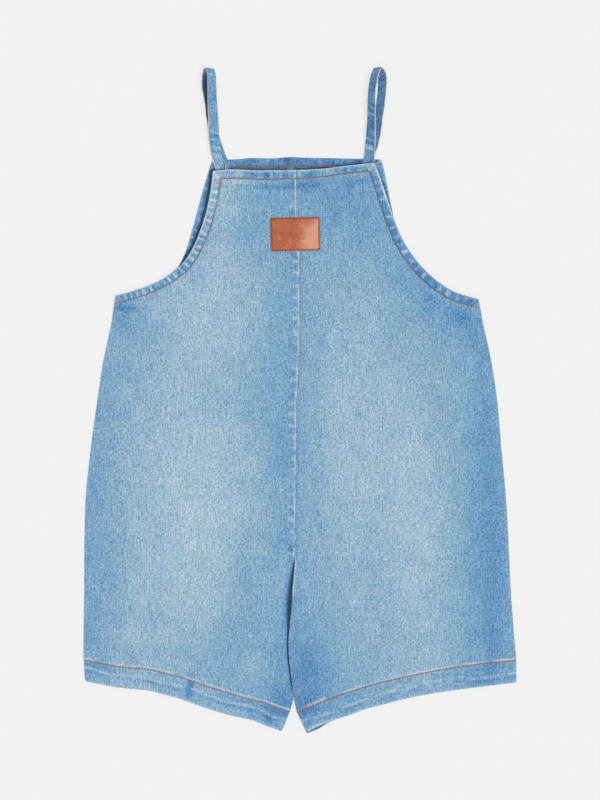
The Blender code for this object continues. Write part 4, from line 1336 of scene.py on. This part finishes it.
def thread_piece(name, slot, lines, look, long, gap, thick, seed):
    """Rows of stitches along lines, each a place and an upward way at every point and how bright it is."""
    shape, faces = stitch_shape()
    random = np.random.default_rng(seed)
    all_points, all_faces, tones = [], [], []
    for place, upward, bright in lines:
        run = run_of(place)
        count = int(run[-1] // (long + gap))
        if count < 1:
            continue
        pitch = run[-1] / count
        waver = 0.4 * uneven(np.arange(count) / 6.0, np.full(count, run[-1] / 7), 95)
        sunk = 0.12 + 0.16 * min(bright, 0.0)
        for k in range(count):
            middle = (k + 0.5) * pitch + random.uniform(-0.1, 0.1)
            size = long * random.uniform(0.92, 1.04) * min(1.0, pitch / (long + gap))
            ends = along(place, np.array([middle - size / 2, middle + size / 2]))
            way = unit(ends[1] - ends[0])
            up = np.array([np.interp(middle, run, upward[:, axis]) for axis in range(3)])
            sideways = unit(np.cross(up, way))
            up = np.cross(way, sideways)
            sideways = unit(sideways + way * random.uniform(-0.05, 0.05))
            local = shape * np.array([size, thick, thick * 0.9])
            world = ends.mean(axis=0) + local[:, :1] * way + local[:, 1:2] * sideways
            all_faces.append(faces + len(all_points) * len(shape))
            all_points.append(world + (local[:, 2:] + sunk) * up)
            tones.append(np.full(len(shape), bright + waver[k] + random.uniform(-0.25, 0.25)))
    points, faces = np.concatenate(all_points), np.concatenate(all_faces)
    points[:, 2] = np.maximum(points[:, 2], 0.0)
    made = make_object(name, points, faces, [look], {"tone": np.concatenate(tones)})
    return belongs(made, slot)


def hem_lines(half, skin, normals):
    """The stitch rows of a half on one side of its cloth: over the bib, down the armhole, round the leg."""
    row = half.hem - half.inset
    top = half.line(rows=row / half.hem)
    arm = half.line(columns=half.last_column - row / half.hem)
    leg = half.line(rows=half.last_row - (half.leg - half.inset) / half.leg)
    under = half.line(rows=half.underarm)
    found = [(skin[top, : arm + 1], normals[top, : arm + 1], 0.0), (skin[leg], normals[leg], 0.0)]

    # the armhole's row runs straight on over the side's edge
    start = skin[under, arm, :2]
    way = unit(start - skin[under - 4, arm, :2])
    block = slice(under, under + 2 * ROW_CUTS), slice(arm, -1)
    rim = skin[block[0], -2, :2] - start
    end = np.argmax((unit(rim) * way).sum(axis=1))
    steps = start + np.linspace(0, 1, 9)[1:, None] * rim[end]
    near = skin[block].reshape(-1, 3)
    nearest = [np.argmin(((near[:, :2] - step) ** 2).sum(axis=1)) for step in steps]
    past_edge = np.column_stack([steps, near[nearest, 2]]), normals[block].reshape(-1, 3)[nearest]
    down = slice(top, under + 1)
    places = [np.vstack([values[down, arm], more]) for values, more in zip((skin, normals), past_edge)]
    # the back's armhole rows lie in the front's painted shadow, so their thread is darkened as painted shade
    found.append((*places, ARMHOLE_THREAD[half.side] - (1.2 if half.part == "back" else 0.0)))
    if half.part == "front" and half.side == "right":
        for shift in BARTACK_SHIFTS:
            short = [values[:BARTACK_ROWS] for values in places]
            found.append((short[0] + (shift, 0.0, 0.1), short[1], 1.0))
    return found


# ---------------------------------------------------------------- finishes
class Field:
    """A value that varies over a surface: a shader socket with arithmetic."""

    def __init__(self, tree, socket):
        self.tree, self.socket = tree, socket

    def math(self, operation, first, second):
        node = self.tree.nodes.new("ShaderNodeMath")
        node.operation = operation
        for socket, value in zip(node.inputs, (first, second)):
            plug(self.tree, socket, value)
        return Field(self.tree, node.outputs[0])

    def __add__(self, other):
        return self.math("ADD", self, other)

    def __sub__(self, other):
        return self.math("SUBTRACT", self, other)

    def __mul__(self, other):
        return self.math("MULTIPLY", self, other)

    def __rsub__(self, other):
        return self.math("SUBTRACT", other, self)

    def __abs__(self):
        return self.math("ABSOLUTE", self, 0.0)

    def fraction(self):
        return self.math("FRACT", self, 0.0)

    def limited(self, low, high):
        return self.math("MINIMUM", self.math("MAXIMUM", self, low), high)

    __radd__, __rmul__ = __add__, __mul__


def plug(tree, socket, value):
    """Links a field to a socket, or sets the socket's own value."""
    if isinstance(value, Field):
        tree.links.new(value.socket, socket)
    elif value is not None:
        socket.default_value = value


class Finish:
    """A material being made."""

    def __init__(self, name):
        self.material = bpy.data.materials.new(name)
        self.material.use_nodes = True
        self.tree = self.material.node_tree
        self.shader = self.tree.nodes["Principled BSDF"]

    def node(self, kind, settings=None, sockets=None, output=0):
        """A node of a kind with its settings made first, then the values or links of its sockets."""
        made = self.tree.nodes.new(kind)
        for key, value in (settings or {}).items():
            if key == "stops":
                ramp = made.color_ramp
                while len(ramp.elements) < len(value):
                    ramp.elements.new(0.5)
                for element, (place, shade) in zip(ramp.elements, value):
                    element.position, element.color = place, (*shade, 1.0)
            else:
                setattr(made, key, value)
        for key, value in (sockets or {}).items():
            plug(self.tree, made.inputs[key], value)
        return Field(self.tree, made.outputs[output])

    def attribute(self, name, output="Fac"):
        """A value that the cloth's points carry."""
        return self.node("ShaderNodeAttribute", {"attribute_name": name}, output=output)

    def noise(self, place, size, detail=2.0, rough=0.5, offset=0.0, output=0):
        """Noise with features of a size in millimetres, as x, y and z."""
        scale = tuple(1 / (s * MM) for s in size)
        sockets = {"Vector": place, "Scale": scale, "Location": (offset,) * 3}
        scaled = self.node("ShaderNodeMapping", None, sockets)
        sockets = {"Vector": scaled, "Scale": 1.0, "Detail": detail, "Roughness": rough}
        return self.node("ShaderNodeTexNoise", None, sockets, output)

    def mix(self, share, first, second, way="MIX"):
        """A mix of two colours."""
        sockets = {0: share, 6: first, 7: second}
        return self.node("ShaderNodeMix", {"data_type": "RGBA", "blend_type": way}, sockets, output=2)

    def ramp(self, amount, stops):
        """Colours along an amount, each with the place where it lies."""
        return self.node("ShaderNodeValToRGB", {"stops": stops}, {"Fac": amount})

    def bump(self, relief, strength, depth):
        """Fine relief, as deep as a distance in metres."""
        return self.node("ShaderNodeBump", None, {"Strength": strength, "Distance": depth, "Height": relief})

    def surface(self, **sockets):
        """The finished material, with the values or links of its shader's sockets."""
        for key, value in sockets.items():
            plug(self.tree, self.shader.inputs[key.replace("_", " ")], value)
        return self.material


# How far the grain of the yarns darkens and lightens red, green and blue, how far its tint shows, and how
# much the fluff of the yarns shines
GRAIN = (0.56, 0.350, 0.260)
TINT = 0.05
SHEEN = 0.12
# Where the five blues of the denim lie, and how much darker than the deep one the darkest is
BLUE_STOPS = (0.0, 0.26, 0.5, 0.72, 1.0)
DARKEST = (0.53, 0.62, 0.66)
# The cells of the leather to the metre, and the colour that the painted highlight adds
LEATHER_CELLS = (900, 900, 900)
LEATHER_SHEEN = (0.66, 0.60, 0.48)


def rgba(values):
    return (*values, 1.0)


def denim(name, colours, level, contrast=1.0):
    """Washed denim: flecked yarns along the warp, broad wash, roped hems, worn ridges and painted shade in
    navy.
    """
    made = Finish(name)
    place, knots = made.attribute("cloth", "Vector"), made.attribute("knots", "Vector")
    tone, wear, shade, rope = (made.attribute(field) for field in ("tone", "wear", "shade", "rope"))
    warp = made.noise(place, (0.9, 5.0, 1.0), 2.0, 0.6)
    slub = made.noise(place, (1.6, 22.0, 1.0), 2.0, 0.5, 7.0)
    fleck = made.noise(place, (1.5, 1.9, 1.0), 3.0, 0.7, 13.0)
    weft = made.noise(place, (4.0, 1.0, 1.0), 1.0, 0.5, 23.0)
    cloud = made.noise(place, (12.0, 17.0, 1.0), 3.0, 0.6, 31.0)
    tint = made.noise(place, (1.7, 2.0, 1.0), 2.0, 0.5, 53.0, output=1)
    stray = made.noise(knots, (1.5, 0.5, 1.0), 1.0, 0.5, 61.0)
    patch = made.noise(knots, (0.9, 0.6, 1.0), 1.0, 0.5, 41.0)
    step = made.node("ShaderNodeSeparateXYZ", None, {"Vector": knots}) * (1 / MM) + stray * 1.1
    apart = abs(step.fraction() - 0.5)
    gate = rope * ((patch - 0.31) * 4.5).limited(0.0, 1.0)
    cell = (1.0 - (0.34 - apart) * 6.0).limited(0.0, 1.0)
    line = ((0.13 - apart) * 9.0).limited(0.0, 1.0) * gate

    amount = (cloud - 0.5) * 0.22 + tone * 0.17 + (patch - 0.52) * rope * 0.5
    amount = amount + (0.42 - cell) * gate * 0.34 + level
    darkest = tuple(way * c for c, way in zip(colours.deep, DARKEST))
    shades = (darkest, colours.deep, colours.mid, colours.pale, colours.worn)
    blue = made.ramp(amount, list(zip(BLUE_STOPS, shades)))
    grain = (fleck - 0.5) * 1.35 + (warp - 0.5) * 0.85 + (slub - 0.5) * 0.45 + (weft - 0.5) * 0.4
    dyed, bare = (tuple(1 + way * c for c in GRAIN) for way in (-1, 1))
    grain = (grain * (1.9 * contrast - tone * 0.22) + 0.5).limited(0.0, 1.0)
    grain = made.mix(grain, rgba(dyed), rgba(bare))
    flecked = made.mix(1.0, blue, grain, "MULTIPLY")
    flecked = made.mix(TINT, flecked, tint, "LINEAR_LIGHT")
    paled = (wear + line * 0.55).limited(0.0, 1.0)
    frayed = (paled * ((fleck - 0.5) * 2.2 + (weft - 0.5) * 1.6 + 0.98)).limited(0.0, 1.0)
    pale = made.mix(frayed, flecked, rgba(colours.worn))
    # painted shade: the shade attribute mixes the denim towards navy
    dark = made.mix(shade.limited(0.0, 0.97), pale, rgba(colours.hollow))
    relief = warp * 0.5 + fleck * 0.8 + weft * 0.4 - cell * gate * 0.8
    bump = made.bump(relief, 0.55, 0.0004)
    return made.surface(
        Base_Color=dark, Roughness=0.95 - fleck * 0.2, Normal=bump,
        Sheen_Weight=SHEEN, Sheen_Roughness=0.5, Specular_IOR_Level=0.25,
    )


def thread_finish(name, thread, faded):
    """Polyester thread with its twist, faded where its tone is high."""
    made = Finish(name)
    tone = made.attribute("tone")
    place = made.node("ShaderNodeTexCoord", output="Object")
    patch = made.noise(place, (4.0, 4.0, 4.0), 2.0, 0.6)
    twist = made.noise(place, (0.25, 0.25, 0.25), 1.0, 0.5, 5.0)
    # a low tone darkens the thread, where it is less faded and as painted shade on rows that lie in shade
    dark = tuple(0.25 * c + 0.03 for c in thread)
    bright = tuple(k * c for c, k in zip(thread, (1.45, 1.15, 0.75)))
    amount = patch * 0.5 + twist * 0.2 + tone * 0.4 + 0.15
    shade = made.ramp(amount, [(0.0, dark), (0.5, thread), (1.0, bright)])
    shade = made.mix(((tone - 1.15) * 1.1).limited(0.0, 0.85), shade, rgba(faded))
    bump = made.bump(twist, 0.6, 0.0001)
    return made.surface(Base_Color=shade, Roughness=0.62 + (twist - 0.5) * 0.3, Normal=bump)


def leather_finish(colours):
    """Tan leather, smooth and pressed, with a painted highlight: paler and a little glossier where its tone
    is high.
    """
    made = Finish("tan_leather")
    place = made.node("ShaderNodeTexCoord", output="Object")
    wear, shade, tone = (made.attribute(field) for field in ("wear", "shade", "tone"))
    cloud = made.noise(place, (6.0, 5.0, 6.0), 4.0, 0.62)
    pore = made.noise(place, (0.8, 0.8, 0.8), 3.0, 0.65, 3.0)
    small = made.node("ShaderNodeMapping", None, {"Vector": place, "Scale": LEATHER_CELLS})
    sockets = {"Vector": small, "Scale": 1.0}
    cell = made.node("ShaderNodeTexVoronoi", {"feature": "DISTANCE_TO_EDGE"}, sockets)
    dark = tuple(0.62 * c for c in colours.leather)
    # the paler stop is the painted highlight's colour
    light = tuple(min(1.0, 0.34 * w + c) for c, w in zip(colours.leather, LEATHER_SHEEN))
    amount = (cloud - 0.5) * 0.5 + (pore - 0.5) * 0.8 + tone * 0.38 + 0.42
    tan = made.ramp(amount, [(0.2, dark), (0.48, colours.leather), (0.9, light)])
    # the rim takes the edge colour, and the painted shade of the stitch row darkens towards it
    edged = made.mix((wear * 0.9 + shade * 0.7).limited(0.0, 1.0), tan, rgba(colours.leather_edge))
    relief = pore * 0.5 + cell.limited(0.0, 0.25) * 1.5
    bump = made.bump(relief, 0.35, 0.00025)
    gloss = 0.52 - tone * 0.12 - (cloud - 0.5) * 0.3
    return made.surface(
        Base_Color=edged, Roughness=gloss.limited(0.25, 0.8), Normal=bump, Specular_IOR_Level=0.3
    )


def floor_finish(colours):
    """A plain pale table top, lit a little from below so that shadows stay faint."""
    made = Finish("table_top")
    place = made.node("ShaderNodeTexCoord", output="Object")
    patch = made.noise(place, (400.0, 400.0, 400.0), 2.0, 0.5)
    pale = made.mix(patch, rgba(colours.floor), rgba([c * 0.995 for c in colours.floor]))
    return made.surface(
        Base_Color=pale, Roughness=0.9, Specular_IOR_Level=0.1,
        Emission_Color=rgba(colours.floor_glow), Emission_Strength=1.0,
    )


# ---------------------------------------------------------------- operators
# The lamp's place in metres and the width of its glow in degrees
LAMP_PLACE = (0.33, -0.36, 1.7)
LAMP_SPREAD = 45.0
CLOTH_TOP = 0.005
FLOOR_BELOW = 0.0002
SENSOR = 36.0
HALVES = {}
LOOKS = {}
# The slot of what each part's thread is sewn to, and the rows of stitches found so far
THREAD_SLOTS = {
    "front": "denim", "back": "denim_inside", "straps": "denim_strap", "label": "label_leather",
}
LINES = {part: [] for part in THREAD_SLOTS}


def cloth_looks(context, part):
    """The right side and wrong side of the denim, made once."""
    colours = context.scene.dungarees_colours
    if not LOOKS:
        LOOKS["outside"] = denim("washed_denim", colours, 0.50)
        LOOKS["lining"] = denim("denim_wrong_side", colours, 0.40, contrast=0.9)
        LOOKS["back"] = denim("back_denim", colours, 0.48)
        LOOKS["strap"] = denim("strap_denim", colours, 0.335)
        LOOKS["thread"] = thread_finish("orange_thread", colours.thread, colours.faded)
        LOOKS["label_thread"] = thread_finish("label_thread", colours.label_thread, colours.faded)
        LOOKS["leather"] = leather_finish(colours)
    return [LOOKS["outside" if part == "front" else "back"], LOOKS["lining"]]


def make_halves(context, part):
    """Both halves of the front or back with their hems and allowance."""
    sizes = context.scene.dungarees_cloth
    looks = cloth_looks(context, part)
    for side in SIDES:
        half = HALVES[part, side] = HalfCloth(part, side, sizes)
        made = cloth_piece(half, looks)
        wide, long = np.ptp(half.coarse, axis=(0, 1)) + [half.hem, half.hem + half.leg]
        points = half.coarse
        cells = np.cross(points[1:, 1:] - points[:-1, :-1], points[1:, :-1] - points[:-1, 1:])
        run = half.edge_run[half.underarm] + run_of(half.top)[-1]
        area = abs(cells).sum() / 2 + run * half.hem + run_of(half.bottom)[-1] * half.leg
        under = ["back_cloth_right", "back_cloth_left"] if part == "front" else ["table_top"]
        wide * MM
        long * MM
        area * MM * MM
        LINES[part] += hem_lines(half, half.skin, half.normals)
        if part == "back":
            upward = np.zeros_like(half.under)
            upward[..., 2] = 1.0
            LINES[part] += hem_lines(half, half.under, upward)


class DUNGAREES_OT_backs(bpy.types.Operator):
    """Make both halves of the back"""

    bl_idname = "dungarees.backs"
    bl_label = "Back"

    def execute(self, context):
        make_halves(context, "back")
        return {"FINISHED"}


class DUNGAREES_OT_fronts(bpy.types.Operator):
    """Make both halves of the front"""

    bl_idname = "dungarees.fronts"
    bl_label = "Front"

    def execute(self, context):
        make_halves(context, "front")
        return {"FINISHED"}


class DUNGAREES_OT_straps(bpy.types.Operator):
    """Make both straps"""

    bl_idname = "dungarees.straps"
    bl_label = "Straps"

    def execute(self, context):
        for side in SIDES:
            LINES["straps"] += strap_piece(side, [LOOKS["strap"]], context.scene.dungarees_thread)
        return {"FINISHED"}


class DUNGAREES_OT_label(bpy.types.Operator):
    """Make the leather label"""

    bl_idname = "dungarees.label"
    bl_label = "Label"

    def execute(self, context):
        LINES["label"] += label_piece(LOOKS["leather"], context.scene.dungarees_thread)
        return {"FINISHED"}


class DUNGAREES_OT_topstitching(bpy.types.Operator):
    """Sew the rows of orange stitches"""

    bl_idname = "dungarees.topstitching"
    bl_label = "Topstitching"

    def execute(self, context):
        thread = context.scene.dungarees_thread
        for seed, (part, slot) in enumerate(THREAD_SLOTS.items(), 1):
            if not LINES[part]:
                raise RuntimeError(f"make the {part} before its stitches")
            long, gap, look = thread.stitch / MM, thread.gap / MM, LOOKS["thread"]
            if part == "label":
                long, gap, look = thread.label_stitch / MM, thread.label_gap / MM, LOOKS["label_thread"]
            thick = thread.thick / MM * (STRAP_THREAD if part == "straps" else 1.0)
            thread_piece(f"thread_{part}", slot, LINES[part], look, long, gap, thick, seed)
        return {"FINISHED"}


class DUNGAREES_OT_studio(bpy.types.Operator):
    """Set up the table top, the soft light and the camera"""

    bl_idname = "dungarees.studio"
    bl_label = "Studio"

    def execute(self, context):
        studio = context.scene.dungarees_studio
        bpy.ops.object.select_all(action="DESELECT")
        bpy.ops.mesh.primitive_plane_add(size=studio.floor_side, location=(0, 0, -FLOOR_BELOW))
        floor = context.object
        floor.name = floor.data.name = "table_top"
        bpy.ops.object.transform_apply(location=True, rotation=True, scale=True)
        floor.data.materials.append(floor_finish(context.scene.dungarees_colours))

        world = bpy.data.worlds.new("studio")
        world.use_nodes = True
        light = world.node_tree.nodes["Background"]
        light.inputs["Color"].default_value = (1.0, 1.0, 1.0, 1.0)
        light.inputs["Strength"].default_value = studio.dome
        context.scene.world = world

        lamp = bpy.data.lights.new("soft_lamp", "SUN")
        lamp.angle, lamp.energy = math.radians(LAMP_SPREAD), studio.key
        placed = bpy.data.objects.new("soft_lamp", lamp)
        placed.location = LAMP_PLACE
        placed.rotation_mode = "QUATERNION"
        placed.rotation_quaternion = (-placed.location).to_track_quat("-Z", "Y")
        context.scene.collection.objects.link(placed)

        camera = bpy.data.cameras.new("camera")
        camera.sensor_width = SENSOR
        camera.lens = SENSOR * studio.height / studio.view
        seen = bpy.data.objects.new("camera", camera)
        seen.location = (0.0, 0.0, studio.height + CLOTH_TOP)
        context.scene.collection.objects.link(seen)
        context.scene.camera = seen
        context.scene.view_settings.view_transform = "Standard"
        return {"FINISHED"}


class DUNGAREES_PT_sidebar(bpy.types.Panel):
    """The garment's pieces and sizes"""

    bl_idname = "DUNGAREES_PT_sidebar"
    bl_label = "Dungarees"
    bl_space_type = "VIEW_3D"
    bl_region_type = "UI"
    bl_category = "Dungarees"

    def draw(self, context):
        for group in GROUPS:
            settings = getattr(context.scene, group)
            for name in settings.__annotations__:
                self.layout.prop(settings, name)
        for operator in OPERATORS:
            self.layout.operator(operator.bl_idname)


GROUPS = {
    "dungarees_cloth": DungareesCloth,
    "dungarees_thread": DungareesThread,
    "dungarees_colours": DungareesColours,
    "dungarees_studio": DungareesStudio,
}
OPERATORS = (
    DUNGAREES_OT_studio,
    DUNGAREES_OT_backs,
    DUNGAREES_OT_fronts,
    DUNGAREES_OT_straps,
    DUNGAREES_OT_label,
    DUNGAREES_OT_topstitching,
)
CLASSES = (*GROUPS.values(), *OPERATORS, DUNGAREES_PT_sidebar)


def register():
    for each in CLASSES:
        bpy.utils.register_class(each)
    for name, group in GROUPS.items():
        setattr(bpy.types.Scene, name, PointerProperty(type=group))


def unregister():
    for name in GROUPS:
        delattr(bpy.types.Scene, name)
    for each in reversed(CLASSES):
        bpy.utils.unregister_class(each)


def main():
    register()
    for operator in OPERATORS:
        group, action = operator.bl_idname.split(".")
        getattr(getattr(bpy.ops, group), action)()


if __name__ == "__main__":
    main()
